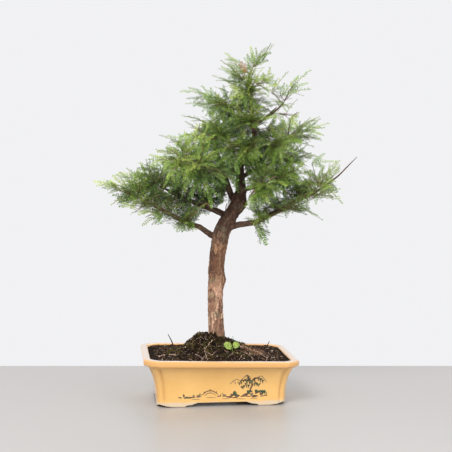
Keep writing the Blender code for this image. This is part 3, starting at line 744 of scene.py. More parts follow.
bm = merged_copy(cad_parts["soil"])
top_edges = list({edge for face in bm.faces if on_top(face) for edge in face.edges})
bmesh.ops.subdivide_edges(bm, edges=top_edges, cuts=TOP_CUTS, use_grid_fill=True)
bm.normal_update()
top_verts = {vert for face in bm.faces for vert in face.verts if on_top(face)}
inner = [vert for vert in top_verts if all(on_top(face) for face in vert.link_faces)]
smooth(bm, inner, SMOOTH_ROUNDS)
for vert in inner:
    spot = (vert.co - pot_centre) / MM
    for x, y, wide, deep, rise in HUMPS:
        near = math.exp(-((spot.x - x) / wide) ** 2 - ((spot.y - y) / deep) ** 2)
        vert.co.z += rise * MM * near
    rough = 1 + MOUND_ROUGHNESS * smoothstep(*MOUND_HEIGHTS, vert.co.z)
    for size, rise in LUMPS:
        vert.co.z += rough * rise * noise.noise(vert.co / size)
# the bed follows the rim up at the back, and fills the pot to its wall
for vert in bm.verts:
    if vert.co.z > SOIL_LEVEL:
        spot = vert.co - pot_centre
        vert.co = pot_centre + Vector((spot.x * SOIL_SPREAD, spot.y * SOIL_SPREAD,
                                       spot.z + 2 * BACK_RISE * max(0.0, spot.y)))
bmesh.ops.triangulate(bm, faces=[face for face in bm.faces if len(face.verts) > 4])
bm.normal_update()
soil_tree = BVHTree.FromBMesh(bm)

earth = natural_material(
    "earth", srgb(6, 4, 3), srgb(42, 28, 18), 170.0, 0.95, bump=0.9,
    bump_scales=(700.0, 2600.0), specular=0.12)
soil = finish_piece("soil_bed", bm, earth)
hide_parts("soil")
print("soil bed:", len(soil.data.polygons), "faces, of which", len(inner), "points were moved")

# %% [markdown]
# Small things that lie on the soil are placed with rays: one straight down for a place on
# the plan, or one from the camera for a place in the picture. Either way the answer is a
# point on the bed and the way that the bed faces there.

# %% Finding the ground
SKY_HEIGHT = 0.30
TREE_FOOT = pot_centre + Vector((-1 * MM, 0, 0))


def ground(x, y, middle=pot_centre):
    """Place and normal of the soil under a point, measured from a middle."""
    return soil_tree.ray_cast(middle + Vector((x, y, SKY_HEIGHT)), -UP)[:2]


def seen_ground(across, down):
    """Place and normal where a camera ray meets the soil."""
    return soil_tree.ray_cast(camera_object.location, pixel_ray(across, down))[:2]


def near_trunk(place, reach):
    return (place - TREE_FOOT).xy.length < reach * MM


def lying_turn(normal, spin):
    """Turn that lays +Z along the normal, spun about it."""
    return normal.to_track_quat("Z", "Y").to_matrix().to_4x4() @ Matrix.Rotation(spin, 4, "Z")


print("soil at the edge:", round(ground(0.1, 0.08)[0].z / MM, 1), "mm up")

# %% [markdown]
# ## Crumbs
#
# Loose crumbs break up the smooth bed. Each is an icosphere squashed and turned at
# random, sunk a little into the soil. Most are dark, some are brown, and a few are pale
# grit. One attribute holds the tone of each crumb.

# %% Crumbs
CRUMB_COUNT = 2100
SMALLEST_CRUMB = 1.3 * MM
LARGEST_CRUMB = 6.0 * MM
# how far the loose things on the soil lie from the pot's middle, across and deep
SOIL_REACH = (0.132, 0.094)
draw = random.Random(11)
bm = new_bmesh("tone")
crumbs = 0
for _ in range(CRUMB_COUNT):
    x = draw.uniform(-1, 1) * SOIL_REACH[0]
    y = draw.uniform(-1, 1) * SOIL_REACH[1]
    place, normal = ground(x, y)
    size = SMALLEST_CRUMB + (LARGEST_CRUMB - SMALLEST_CRUMB) * draw.random() ** 2.2
    turn = lying_turn(normal, draw.uniform(0, math.tau)) if place else None
    scale = Matrix.Diagonal((draw.uniform(0.8, 1.4), draw.uniform(0.7, 1.1),
                             draw.uniform(0.5, 0.9), 1))
    tone = draw.random()
    if place is None or near_trunk(place, 17):
        continue
    made = bmesh.ops.create_icosphere(bm, subdivisions=1, radius=size / 2,
                                      matrix=Matrix.Translation(place) @ turn @ scale)
    for vert in made["verts"]:
        vert.co += noise.noise_vector(vert.co * 900) * size * 0.16
    add_float(bm, "tone", made["verts"], tone)
    crumbs += 1

crumb_material = toned_material(
    "crumbs", srgb(40, 31, 25), srgb(94, 79, 66), 500.0, 0.95, "tone",
    ((0.0, srgb(8, 6, 4)), (0.5, srgb(34, 23, 16)), (0.8, srgb(78, 56, 40)),
     (0.93, srgb(126, 102, 80)), (1.0, srgb(206, 188, 164))), 0.25, bump=0.5, specular=0.15)
finish_piece("soil_crumbs", bm, crumb_material, smooth=False)
print(crumbs, "crumbs")

# %% [markdown]
# ## Moss
#
# Moss covers parts of the mound in small cushions. A cushion is a crowd of short blades
# that lean outwards, and each blade is a thin closed sliver of four faces. Noise decides
# where moss grows, so it comes in patches with bare earth between.

# %% Moss
MOSS_TRIES = 12000
MOSS_LENGTH = (1.8 * MM, 4.4 * MM)
MOSS_RADIUS = 0.085
BLADE_THICKNESS = 0.42 * MM


def add_blade(bm, root, tip, side, tone):
    """Thin closed blade of four faces from a root to a tip."""
    across = side.normalized() * BLADE_THICKNESS
    lift = (tip - root).cross(across).normalized() * BLADE_THICKNESS
    verts = sliver(bm, (root - across, root + across, root + lift * 1.2, tip))
    add_float(bm, "tone", verts, tone)


draw = random.Random(23)
bm = new_bmesh("tone")
blades = 0
for _ in range(MOSS_TRIES):
    angle = draw.uniform(0, math.tau)
    reach = MOSS_RADIUS * math.sqrt(draw.random())
    x = reach * 1.15 * math.cos(angle) - 8 * MM
    y = reach * math.sin(angle)
    patch = noise.noise(Vector((x, y, 0.37)) / 0.017)
    patch += 0.5 * noise.noise(Vector((x, y, 2.1)) / 0.007)
    lean = Vector((draw.gauss(0, 0.5), draw.gauss(0, 0.5), 0))
    length = draw.uniform(*MOSS_LENGTH)
    tone = 0.55 * draw.random() + 0.45 * smoothstep(0.0, 0.7, patch)
    wanted = patch > 0.60 * reach / MOSS_RADIUS - 0.46
    place, normal = ground(x, y)
    if not wanted or place is None or near_trunk(place, 15):
        continue
    tip = place + (normal + lean).normalized() * length * (0.6 + patch)
    side = normal.cross(lean) if lean.length > 0.01 else Vector((1, 0, 0))
    add_blade(bm, place - normal * 0.4 * MM, tip, side, tone)
    blades += 1

moss_material = toned_material(
    "moss", srgb(38, 34, 18), srgb(108, 96, 54), 90.0, 0.9, "tone",
    ((0.0, srgb(34, 30, 12)), (0.6, srgb(98, 90, 36)), (1.0, srgb(170, 158, 84))), 0.5,
    specular=0.15)
finish_piece("moss", bm, moss_material, smooth=False)
print(blades, "blades of moss")

# %% [markdown]
# ## Surface roots
#
# Fine pale roots run over the mound and dive into it. A handful are drawn where they
# show most, by points in the picture that are carried onto the soil. The rest wander
# downhill from the trunk at random, and each is a tapered tube pressed into the surface.

# %% Surface roots
# routes in the picture, each with its radius in millimetres
DRAWN_ROOTS = (
    (((213, 340), (209, 344), (205, 350), (206, 355), (208, 361)), 0.95),
    (((206, 352), (210, 354), (214, 353), (217, 350)), 0.7),
    (((206, 356), (203, 358), (201, 362)), 0.6),
    (((236, 350), (242, 352), (249, 355), (254, 360)), 1.1),
    (((240, 346), (246, 348), (249, 353), (256, 356)), 1.0),
    (((232, 349), (233, 353), (228, 357)), 0.6),
    (((244, 354), (241, 357), (238, 361)), 0.8),
    (((252, 350), (259, 353), (266, 357)), 0.8),
    (((246, 358), (241, 360)), 0.8),
    (((195, 354), (200, 357), (204, 361)), 0.6),
    (((188, 359), (194, 361)), 0.5),
    (((266, 361), (269, 357), (275, 356)), 0.5),
)
WANDERING_ROOTS = 44
ROOT_STEP = 5 * MM


def tapered(start, end, count):
    """Radii from one value to another."""
    return [start + (end - start) * i / (count - 1) for i in range(count)]


def add_root(bm, points, radius):
    """Lay a line of points half sunk on the soil, with both ends diving in."""
    rested = []
    for point in points:
        place, normal = ground(point.x, point.y, Vector())
        if place is None:
            break
        rested.append(place + normal * radius * 0.45)
    if len(rested) < 3:
        return 0
    rested[0].z -= 2 * radius
    rested[-1].z -= 3 * radius
    tube(bm, rested, tapered(radius, 0.45 * radius, len(rested)), 5)
    return 1


def seen_line(pixels):
    """Places on the soil that show at these pixels."""
    places = [seen_ground(*pixel)[0] for pixel in pixels]
    return [place for place in places if place is not None]


bm = bmesh.new()
roots = 0
for route, radius in DRAWN_ROOTS:
    places = seen_line(route)
    if len(places) > 1:
        roots += add_root(bm, smooth_line(places, 5), radius * MM)

draw = random.Random(37)
for _ in range(WANDERING_ROOTS):
    angle = draw.uniform(0, math.tau)
    heading = angle + draw.gauss(0, 0.7)
    reach = draw.uniform(20 * MM, 78 * MM)
    point = TREE_FOOT + Vector((math.cos(angle) * reach * 1.1, math.sin(angle) * reach * 0.85, 0))
    line = [point]
    for _ in range(draw.randint(4, 11)):
        heading += draw.gauss(0, 0.45)
        point = point + Vector((math.cos(heading), math.sin(heading), 0)) * ROOT_STEP
        line.append(point)
    spots = [point - pot_centre for point in line]
    if all(abs(spot.x) < SOIL_REACH[0] and abs(spot.y) < SOIL_REACH[1] for spot in spots):
        roots += add_root(bm, line, draw.uniform(0.22, 0.50) * MM)

root_material = natural_material(
    "root_skin", srgb(150, 118, 98), srgb(226, 198, 176), 320.0, 0.85, bump=0.4, specular=0.2)
finish_piece("surface_roots", bm, root_material)
print(roots, "roots")

# %% [markdown]
# ## Fallen needles and dry twigs
#
# Redwood leaflets turn rusty and drop, so the soil is littered with thin dry slivers, with
# a heap of them to the right of the mound. Three dead twigs stand in the soil, one near each
# back corner and one behind the seedling, and a pale stick lies near the front on the left.

# %% Fallen needles
NEEDLE_COUNT = 620
HEAP_COUNT = 460
HEAP_PIXEL = (252, 351)
HEAP_SPREAD = 13 * MM
draw = random.Random(41)
bm = new_bmesh("tone")
heap = seen_ground(*HEAP_PIXEL)[0] - pot_centre
for number in range(NEEDLE_COUNT + HEAP_COUNT):
    strewn = number < NEEDLE_COUNT
    if strewn:
        x = draw.uniform(-1, 1) * SOIL_REACH[0] * 0.98
        y = draw.uniform(-1, 1) * SOIL_REACH[1] * 0.98
    else:
        x = heap.x + draw.gauss(0, HEAP_SPREAD)
        y = heap.y + draw.gauss(0, HEAP_SPREAD)
    length = draw.uniform(4, 9 if strewn else 13) * MM
    spin = draw.uniform(0, math.tau)
    rise = abs(draw.gauss(0, 0.22))
    tone = draw.uniform(0 if strewn else 0.35, 1)
    place, normal = ground(x, y)
    if place is None or near_trunk(place, 18):
        continue
    along = lying_turn(normal, spin).to_3x3() @ Vector((1, 0, rise)).normalized()
    start = place + normal * 0.5 * MM
    add_blade(bm, start - along * length * 0.3, start + along * length * 0.7,
              normal.cross(along), tone)

needle_material = toned_material(
    "dry_needles", srgb(92, 58, 38), srgb(166, 108, 68), 200.0, 0.8, "tone",
    ((0.0, srgb(50, 34, 26)), (0.5, srgb(104, 76, 58)), (0.85, srgb(166, 134, 108)),
     (1.0, srgb(214, 192, 168))), 0.35, specular=0.2)
finish_piece("fallen_needles", bm, needle_material, smooth=False)
print(NEEDLE_COUNT + HEAP_COUNT, "needles drawn")

# %% Dry twigs and a stick
# where a twig stands in the picture, where its tip shows, and its radius in millimetres
STANDING_TWIGS = (((174.6, 349), (168, 334.2), 1.7), ((266, 347), (269.5, 341), 1.3),
                  ((232.5, 343), (232.8, 336), 0.7))
LYING_STICK = ((159, 357), (164, 355.6), (170, 354.9), (176, 355.6))
STICK_RADIUS = 1.0 * MM


def pixel_at_depth(pixel, place):
    """Point on a camera ray, level in depth with a place."""
    ray = pixel_ray(*pixel)
    facing = camera_object.matrix_world.to_3x3() @ Vector((0, 0, -1))
    depth = (place - camera_object.location).dot(facing)
    return camera_object.location + ray * (depth / ray.dot(facing))


bm = bmesh.new()
for foot_pixel, tip_pixel, radius in STANDING_TWIGS:
    foot = seen_ground(*foot_pixel)[0]
    if foot is None:
        continue
    tip = pixel_at_depth(tip_pixel, foot)
    bend = foot.lerp(tip, 0.5) + Vector((0.8, 0, 0.5)) * MM
    line = smooth_line([foot - UP * 2 * MM, bend, tip], 4)
    tube(bm, line, tapered(radius * MM, 0.4 * radius * MM, len(line)), 6)
stick = [place + UP * 0.7 * MM for place in seen_line(LYING_STICK)]
if len(stick) > 2:
    stick_bm = bmesh.new()
    line = smooth_line(stick, 4)
    tube(stick_bm, line, [STICK_RADIUS] * len(line), 6)
    finish_piece("pale_stick", stick_bm, root_material)
twig_material = natural_material(
    "dry_twig", srgb(34, 28, 26), srgb(72, 62, 56), 300.0, 0.85, bump=0.4)
finish_piece("dry_twigs", bm, twig_material)
print("twigs and a stick are down")

# %% [markdown]
# ## Bark
#
# Dawn redwood bark peels in strips: pale tan plates with dark reddish cracks between. The
# plain wood is one fused solid, so a voxel remesh gives it small even faces with soft
# collars where branches join. Each point then finds its place along the trunk, so that
# patterns can be stretched that way. A Voronoi pattern gives plates that lift at their
# edges, zero lines of noise give the finer cracks, and a slow noise makes the cracks
# strong in some places and faint in others. Branches get finer, smoother bark.

# %% Fine wood mesh
VOXEL = 1.3 * MM
TREE_TURN = math.radians(-7)
# across, depth, height and radius of the trunk, from the pot's middle, before the turn
TRUNK_LINE = ((-1, 0, 80, 17.5), (-1, 0, 129, 17.2), (-4, 0, 181, 16.0), (-4, 1, 222, 16.4),
              (-2, 1, 264, 16.0), (2, 0, 305, 16.6), (7, 0, 334, 18.0), (16, 0, 358, 17.0),
              (28, 0, 381, 15.8), (39, 2, 402, 14.0), (49, 4, 428, 11.2), (46, 6, 476, 9.2),
              (59, 4, 510, 8.0), (78, 0, 531, 6.8), (74, -3, 570, 5.6), (68, 0, 612, 4.2),
              (64, 2, 650, 2.8), (67, 2, 668, 2.1))

bm = merged_copy(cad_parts["trunk_and_branches"])
wood_plain_tree = BVHTree.FromBMesh(bm)
wood_guide = new_object("wood_guide", new_mesh("wood", bm))
remesh = wood_guide.modifiers.new("small_faces", "REMESH")
remesh.mode = "VOXEL"
remesh.voxel_size = VOXEL
wood_fine = evaluated_mesh(wood_guide)
bpy.data.objects.remove(wood_guide)
bm = bmesh.new()
bm.from_mesh(wood_fine)
smooth(bm, bm.verts, 2)
bm.normal_update()
print("wood:", len(bm.faces), "faces")

# %% Place of each point along the trunk
tree_turn = Matrix.Rotation(TREE_TURN, 3, "Z")
trunk_points = np.array([pot_centre + tree_turn @ (Vector(p[:3]) * MM) for p in TRUNK_LINE])
trunk_radii = np.array([p[3] * MM for p in TRUNK_LINE])
trunk_steps = np.linalg.norm(np.diff(trunk_points, axis=0), axis=1)
trunk_lengths = np.concatenate([[0], np.cumsum(trunk_steps)])


def along_trunk(places):
    """Nearest point of the trunk's line: distance from it, length along it, its radius and
    the point itself."""
    best = np.full(len(places), 1e9)
    length = np.zeros(len(places))
    radius = np.zeros(len(places))
    nearest = np.zeros((len(places), 3))
    for i in range(len(trunk_points) - 1):
        start, span = trunk_points[i], trunk_points[i + 1] - trunk_points[i]
        share = np.clip((places - start) @ span / (span @ span), 0, 1)
        on_line = start + share[:, None] * span
        distance = np.linalg.norm(places - on_line, axis=1)
        closer = distance < best
        best[closer] = distance[closer]
        nearest[closer] = on_line[closer]
        length[closer] = (trunk_lengths[i] + share * trunk_steps[i])[closer]
        radius[closer] = (trunk_radii[i] + share * (trunk_radii[i + 1] - trunk_radii[i]))[closer]
    return best, length, radius, nearest


wood_places = np.array([vert.co for vert in bm.verts])
wood_distance, wood_length, wood_radius, wood_nearest = along_trunk(wood_places)
print("trunk line:", round(trunk_lengths[-1], 3), "m long")

# %% Cut the bark
# sizes across and along the trunk, depth of the cracks, and how unevenly the plates stand
PLATE_WIDTH = 6.4 * MM
PLATE_LENGTH = 25 * MM
STRIP_WIDTH = 3.0 * MM
STRIP_LENGTH = 22 * MM
CRACK_DEPTH = 1.2 * MM
PLATE_STEP = 1.1 * MM
PLATE_CURL = 0.5 * MM
BRANCH_PLATE = 4.2 * MM
TOP_OF_OLD_BARK = 0.47
# knots and swellings: height, turn from +X in degrees, size and rise in millimetres
KNOTS = ((0.243, -6, 21, 5.5), (0.262, 10, 11, 1.6), (0.300, 200, 13, 1.8), (0.328, 240, 14, 2.6),
         (0.182, 140, 13, 1.2), (0.345, 20, 14, 2.0), (0.365, 215, 12, 2.0),
         (0.396, -6, 22, 5.0))
# the trunk bends to the right just under the fork
BEND = Vector((4.5 * MM, 0, 0))
BEND_HEIGHT = 0.397
BEND_REACH = 0.024

crack_layer, tone_layer, young_layer = [bm.verts.layers.float.new(name)
                                        for name in ("crack", "tone", "young")]
knot_places = []
for height, degrees, size, rise in KNOTS:
    i = int(np.argmin(np.abs(trunk_points[:, 2] - height)))
    low, high = sorted((i, i + (1 if trunk_points[i, 2] < height else -1)))
    share = (height - trunk_points[low, 2]) / (trunk_points[high, 2] - trunk_points[low, 2])
    centre = Vector(trunk_points[low]).lerp(Vector(trunk_points[high]), share)
    out = Vector((math.cos(math.radians(degrees)), math.sin(math.radians(degrees)), 0))
    knot_places.append((centre + out * trunk_radii[i], out, size * MM, rise * MM))

moves = []
for i, vert in enumerate(bm.verts):
    young = smoothstep(1.2, 1.75, wood_distance[i] / wood_radius[i])
    young = max(young, 0.85 * smoothstep(TOP_OF_OLD_BARK, TOP_OF_OLD_BARK + 0.06, vert.co.z))
    offset = vert.co - Vector(wood_nearest[i])
    sway = noise.noise_vector(vert.co / 0.011) * 0.42
    around = Vector((offset.x, offset.y, 0))
    plates = around / PLATE_WIDTH + UP * wood_length[i] / PLATE_LENGTH + sway
    if young > 0.5:
        plates = vert.co / BRANCH_PLATE + sway
    distances, centres = noise.voronoi(plates)
    border = distances[1] - distances[0]
    strips = noise.noise(around / STRIP_WIDTH + UP * wood_length[i] / STRIP_LENGTH + sway * 2)
    strength = 0.30 + 0.70 * smoothstep(-0.25, 0.25, noise.noise(vert.co / 0.019))
    crack = max(strength * (1 - smoothstep(0.02, 0.17, border)),
                0.6 * (1 - smoothstep(0.0, 0.11, abs(strips))) * (1 - young))
    tone = 0.62 * noise.cell(centres[0] * 7.31 + Vector((3, 5, 9))) + 0.38 * (0.5 + strips)
    curl = smoothstep(0.34, 0.12, border) * (1 - crack)
    ragged = noise.noise(vert.co / 0.0024) * 0.42 * MM + noise.noise(vert.co / 0.007) * 0.7 * MM
    rise = ((tone - 0.5) * PLATE_STEP + curl * PLATE_CURL) * (1 - crack) - crack * CRACK_DEPTH
    move = vert.normal * (rise * (1 - 0.8 * young) + ragged * (1 - 0.55 * young))
    for place, out, size, height in knot_places:
        near = (vert.co - place).length / size
        if near < 1:
            move += out * height * (1 - near * near) ** 2
    bend = math.exp(-((vert.co.z - BEND_HEIGHT) / BEND_REACH) ** 2)
    move += BEND * bend * smoothstep(0.070, 0.020, wood_distance[i])
    moves.append(move)
    vert[crack_layer] = crack
    vert[tone_layer] = min(1.0, max(0.0, tone))
    vert[young_layer] = young
for vert, move in zip(bm.verts, moves):
    vert.co += move
print("cracks up to", round(CRACK_DEPTH / MM, 2), "mm deep and", len(KNOTS), "knots")

# %% [markdown]
# The trunk is pale and tan at its foot, brown in its middle and almost black in the crown,
# where the near black is painted shade under the leaves, so a colour ramp follows the
# height above the table. Each plate then has a tone of its own, grey-green lichen sits on it
# in patches, and the cracks are dark.

# %% Bark colours
bark = natural_material(
    "peeling_bark", srgb(150, 138, 130), srgb(255, 250, 244), 210.0, 0.88, bump=0.6,
    bump_scales=(420.0, 1500.0), stretch=(1, 1, 0.5))
tree, colour = tree_and_colour(bark)
place = object_place(tree)
height = add_node(tree, "ShaderNodeSeparateXYZ", Vector=place)
along = add_node(tree, "ShaderNodeMapRange", Value=height.outputs["Z"], From_Min=0.10,
                 From_Max=0.50)
# colour by height: the near-black stops at the top are painted shade in the crown
height_tones_and_shade = ramp(tree, along.outputs["Result"],
             ((0.0, srgb(255, 224, 198)), (0.31, srgb(255, 216, 188)), (0.38, srgb(196, 158, 126)),
              (0.53, srgb(188, 150, 118)), (0.60, srgb(144, 120, 102)), (0.74, srgb(130, 101, 82)),
              (0.86, srgb(72, 54, 42)), (1.0, srgb(60, 46, 34))))
plates = ramp(tree, attribute(tree, "tone"),
              ((0.0, srgb(168, 148, 138)), (0.35, srgb(216, 204, 196)), (0.7, srgb(242, 234, 228)),
               (1.0, srgb(255, 248, 238))))
old_bark = mix_colour(tree, 1.0, height_tones_and_shade, plates, "MULTIPLY")
old_bark = mix_colour(tree, 0.8, old_bark, colour, "MULTIPLY")
lichen = add_node(tree, "ShaderNodeTexNoise", Vector=place, Scale=55.0, Detail=4.0)
lichen_mask = add_node(tree, "ShaderNodeMapRange", Value=lichen.outputs["Fac"], From_Min=0.56,
                       From_Max=0.66, To_Max=0.5)
old_bark = mix_colour(tree, lichen_mask.outputs["Result"], old_bark, srgb(116, 110, 84))
young_bark = use_group(tree, mottle, "Colour", Vector=place, Scale=160.0,
                       Dark=srgb(44, 32, 25), Light=srgb(124, 97, 76))
colour = mix_colour(tree, attribute(tree, "young"), old_bark, young_bark)
colour = mix_colour(tree, attribute(tree, "crack"), colour, srgb(70, 46, 36))
set_colour(tree, colour)
wood = finish_piece("bark_and_branches", bm, bark)
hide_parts("trunk_and_branches")
print("bark:", len(wood.data.polygons), "faces")

# %% [markdown]
# ## Fronds
#
# A dawn redwood leaf is a small frond: a thin stalk with two rows of flat, soft leaflets
# set in opposite pairs. We make a dozen fronds that differ a little, and use copies of
# them for the whole crown. Each leaflet is the convex hull of four points, its root, its
# two widest places and its tip, which is the lightest closed body there is.

# %% One frond
FROND_LENGTH = 46 * MM
LEAFLET_LENGTH = 9.6 * MM
LEAFLET_WIDTH = 2.5 * MM
LEAFLET_ARCH = 0.5 * MM
LEAFLET_PAIRS = 11
FROND_KINDS = 12


def add_leaflet(bm, place, length, width, tint_and_light):
    """One flat leaflet along +X, arched a little."""
    widest = 0.42 * length
    points = ((0, 0, 0), (widest, width / 2, LEAFLET_ARCH), (widest, -width / 2, LEAFLET_ARCH),
              (length, 0, -LEAFLET_ARCH * 0.4))
    verts = sliver(bm, [place @ Vector(point) for point in points])
    add_float(bm, "tint_and_light", verts, tint_and_light)
    add_float(bm, "woody", verts, 0.0)


def make_frond(number, leaflet_length=LEAFLET_LENGTH, leaflet_width=LEAFLET_WIDTH):
    """Frond along +X, in the XY plane, with its upper side at +Z."""
    draw = random.Random(100 + number)
    length = FROND_LENGTH * draw.uniform(0.92, 1.08)
    droop = draw.uniform(0.04, 0.26)
    sway = draw.uniform(-0.10, 0.10)
    bm = new_bmesh("tint_and_light", "woody")

    def rib(share):
        return Vector((share * length, sway * length * share ** 2, -droop * length * share ** 2))

    line = [rib(share) for share in (0.0, 0.5, 0.97)]
    stalk = tube(bm, line, [0.60 * MM, 0.46 * MM, 0.24 * MM], 3)
    add_float(bm, "tint_and_light", stalk, 0.15)
    add_float(bm, "woody", stalk, 0.35)
    for pair in range(LEAFLET_PAIRS):
        share = 0.09 + 0.88 * pair / (LEAFLET_PAIRS - 1)
        reach = leaflet_length * (0.50 + 0.50 * math.sin(math.pi * min(1, 0.28 + 0.68 * share)))
        heading = rib(min(1, share + 0.02)) - rib(share - 0.02)
        along = math.atan2(heading.y, heading.x)
        pitch = math.asin(heading.z / heading.length)
        for side in (-1, 1):
            angle = math.radians(72 - 30 * share + draw.gauss(0, 3.5))
            lift = math.radians(draw.gauss(9, 15))
            place = (Matrix.Translation(rib(share)) @ Matrix.Rotation(along, 4, "Z")
                     @ Matrix.Rotation(-pitch, 4, "Y") @ Matrix.Rotation(side * angle, 4, "Z")
                     @ Matrix.Rotation(-lift, 4, "Y"))
            add_leaflet(bm, place, reach * draw.uniform(0.90, 1.10),
                        leaflet_width * draw.uniform(0.9, 1.1), 0.14 * share + draw.gauss(0, 0.10))
    end = Matrix.Translation(rib(0.95)) @ Matrix.Rotation(math.atan(2 * droop), 4, "Y")
    add_leaflet(bm, end, leaflet_length * 0.62, leaflet_width, 0.16)
    return new_mesh(f"frond_{number}", bm)


frond_kinds = [make_frond(number) for number in range(FROND_KINDS)]
print(len(frond_kinds), "fronds of about", len(frond_kinds[0].polygons), "faces")

# %% [markdown]
# ## Shoots
#
# Fronds grow in opposite pairs along a slim shoot, with one more at its end. `grow_shoot`
# notes where each frond and each stretch of twig goes, in a frame whose +X runs along the
# shoot. Noting places first, and building later, lets a spray be several shoots at once.
# Leaves turn their upper side to the light, so each shoot is rolled about its own length
# by `face_light`, with a little noise. This is what gives the crown its layers.

# %% Shoots
TWIG_RADIUS = 0.9 * MM
LIGHT = Vector((-0.12, -0.52, 0.82)).normalized()
TIP_LIGHT = Vector((-0.06, -0.38, 0.92)).normalized()


def frame_along(start, direction, above=UP):
    """Frame at a place with +X along a direction and +Z as near to `above` as that allows."""
    x_axis = direction.normalized()
    y_axis = above.cross(x_axis).normalized()
    turn = Matrix((x_axis, y_axis, x_axis.cross(y_axis))).transposed().to_4x4()
    return Matrix.Translation(start) @ turn


def face_light(place, roll, light=LIGHT):
    """Frame with the same place and +X, its +Z turned to the light and then rolled."""
    facing = frame_along(place.translation, place.to_3x3() @ Vector((1, 0, 0)), light)
    return facing @ Matrix.Rotation(roll, 4, "X")


def turned(place, forward, yaw, roll, dip):
    """Frame moved forward along +X, then turned aside, rolled and dipped."""
    return (place @ Matrix.Translation((forward, 0, 0)) @ Matrix.Rotation(yaw, 4, "Z")
            @ Matrix.Rotation(roll, 4, "X") @ Matrix.Rotation(dip, 4, "Y"))


def new_plan():
    """Empty lists for twigs (frame, length, size) and fronds (frame, size, light)."""
    return {"twigs": [], "fronds": []}


def grow_shoot(plan, draw, place, length, pairs, size, light):
    """Note a shoot's twig and fronds. `light` is how much sun its fronds get, 0 to 1."""
    fronds = plan["fronds"]
    place = face_light(place, draw.gauss(0, 0.42))
    plan["twigs"].append((place, length, size))
    for pair in range(pairs):
        share = (pair + 0.35) / pairs
        for side in (-1, 1):
            yaw = side * math.radians(draw.gauss(56, 7) - 14 * share)
            roll = draw.gauss(0, 0.24)
            dip = draw.gauss(0.04, 0.14)
            scale = size * (1.0 - 0.22 * share) * draw.uniform(0.82, 1.10)
            frond_place = turned(place, share * length, yaw, roll, dip)
            fronds.append((frond_place, scale, light + 0.12 * share + draw.gauss(0, 0.09)))
    end = turned(place, length * 0.98, draw.gauss(0, 0.08), draw.gauss(0, 0.2), 0.0)
    fronds.append((end, size * draw.uniform(0.85, 1.0), light + 0.18 + draw.gauss(0, 0.06)))


print("shoots can grow")

# %% [markdown]
# A bonsai is pruned to a shape. Ours is a leaning triangle, drawn as an outline in the
# picture, with a few gaps where the trunk or the wall shows through. `prune` leaves out
# every frond that would grow out of the outline or into a gap, thins the fronds where the
# crown is sparse, and darkens those where it is deep with painted shade.

# %% Pruning
# the crown's outline in the picture, and the gaps in it: across, down and radius
CROWN_OUTLINE = (
    (272, 42), (268, 56), (262, 68), (270, 69), (276, 76), (286, 71), (284, 80), (294, 74),
    (308, 69), (299, 81), (309, 88), (294, 94), (293, 106), (280, 108), (284, 120), (298, 112),
    (300, 119), (319, 114), (314, 121), (327, 124), (323, 137), (309, 139), (315, 146),
    (305, 150), (319, 153), (314, 158), (333, 158), (348, 160), (342, 168), (334, 178),
    (338, 186), (345, 198), (324, 198), (306, 205), (322, 218), (298, 213), (284, 217),
    (270, 220), (268, 243), (258, 241), (254, 224), (240, 220), (224, 216), (214, 228),
    (206, 236), (194, 234), (178, 229), (168, 222), (142, 222), (146, 215), (131, 212),
    (122, 204), (109, 201), (118, 195), (104, 187), (96, 182), (103, 177), (116, 172),
    (127, 165), (133, 171), (140, 160), (152, 154), (166, 156), (157, 147), (172, 141),
    (162, 134), (182, 134), (191, 126), (197, 117), (182, 112), (202, 108), (184, 101),
    (190, 95), (182, 89), (203, 84), (209, 91), (222, 87), (228, 82), (214, 73), (226, 75),
    (221, 66), (222, 58), (229, 52), (236, 59), (246, 57), (251, 47), (260, 48))
GAPS = ((277, 76, 3), (289, 82, 3), (299, 79, 3), (285, 101, 3), (245, 64, 4),
        (211, 220, 8), (252, 190, 4), (249, 213, 5), (224, 203, 3), (267, 175, 2), (281, 195, 3),
        (241, 168, 4), (242, 176, 5), (243, 185, 5), (243, 194, 6), (240, 204, 7), (233, 214, 8),
        (206, 207, 3), (213, 209, 3), (220, 211, 4), (205, 231, 4), (197, 226, 3), (245, 223, 4),
        (231, 186, 3), (262, 126, 3), (202, 219, 6), (229, 193, 4), (228, 181, 3), (309, 167, 4),
        (317, 170, 3), (303, 177, 3), (160, 163, 2), (147, 155, 4), (147, 216, 4), (139, 207, 3))
# places where fronds stand farther apart: across, down, radius and share of the fronds kept
SPARSE = ((278, 86, 26, 0.40), (196, 92, 14, 0.6), (313, 166, 19, 0.45), (312, 138, 14, 0.7),
          (147, 152, 12, 0.5), (267, 120, 12, 0.6), (284, 91, 12, 0.22))
# pools of painted shade low in the crown and deep inside it, where fronds are darkened: across, down
# and radius
SHADED = ((253, 143, 12), (227, 172, 14), (168, 206, 34), (196, 196, 20), (232, 182, 24),
          (262, 140, 13), (296, 200, 18), (236, 128, 12), (272, 210, 12), (205, 172, 16),
          (128, 196, 14))
SHADE_DEPTH = 0.32
CHECKED_SHARES = (0.12, 0.5, 0.85)
OUTLINE_SIDES = list(zip(CROWN_OUTLINE, CROWN_OUTLINE[1:] + CROWN_OUTLINE[:1]))


def inside_outline(across, down):
    """True if a ray to the right of the place crosses the outline an odd number of times."""
    crossings = 0
    for (x0, y0), (x1, y1) in OUTLINE_SIDES:
        if (y0 > down) != (y1 > down):
            crossings += across < x0 + (x1 - x0) * (down - y0) / (y1 - y0)
    return crossings % 2 == 1


def shade_at(across, down):
    """1 in the middle of a shaded part of the picture, 0 outside of them all."""
    return max(1 - smoothstep(0.3, 1.0, math.hypot(across - x, down - y) / radius)
               for x, y, radius in SHADED)


def in_circle(across, down, x, y, radius):
    return (across - x) ** 2 + (down - y) ** 2 < radius ** 2


def in_gap(across, down):
    return any(in_circle(across, down, *gap) for gap in GAPS)


def kept_share(across, down):
    """Share of the fronds that stay at a place in the picture."""
    return min((share for *circle, share in SPARSE if in_circle(across, down, *circle)),
               default=1.0)


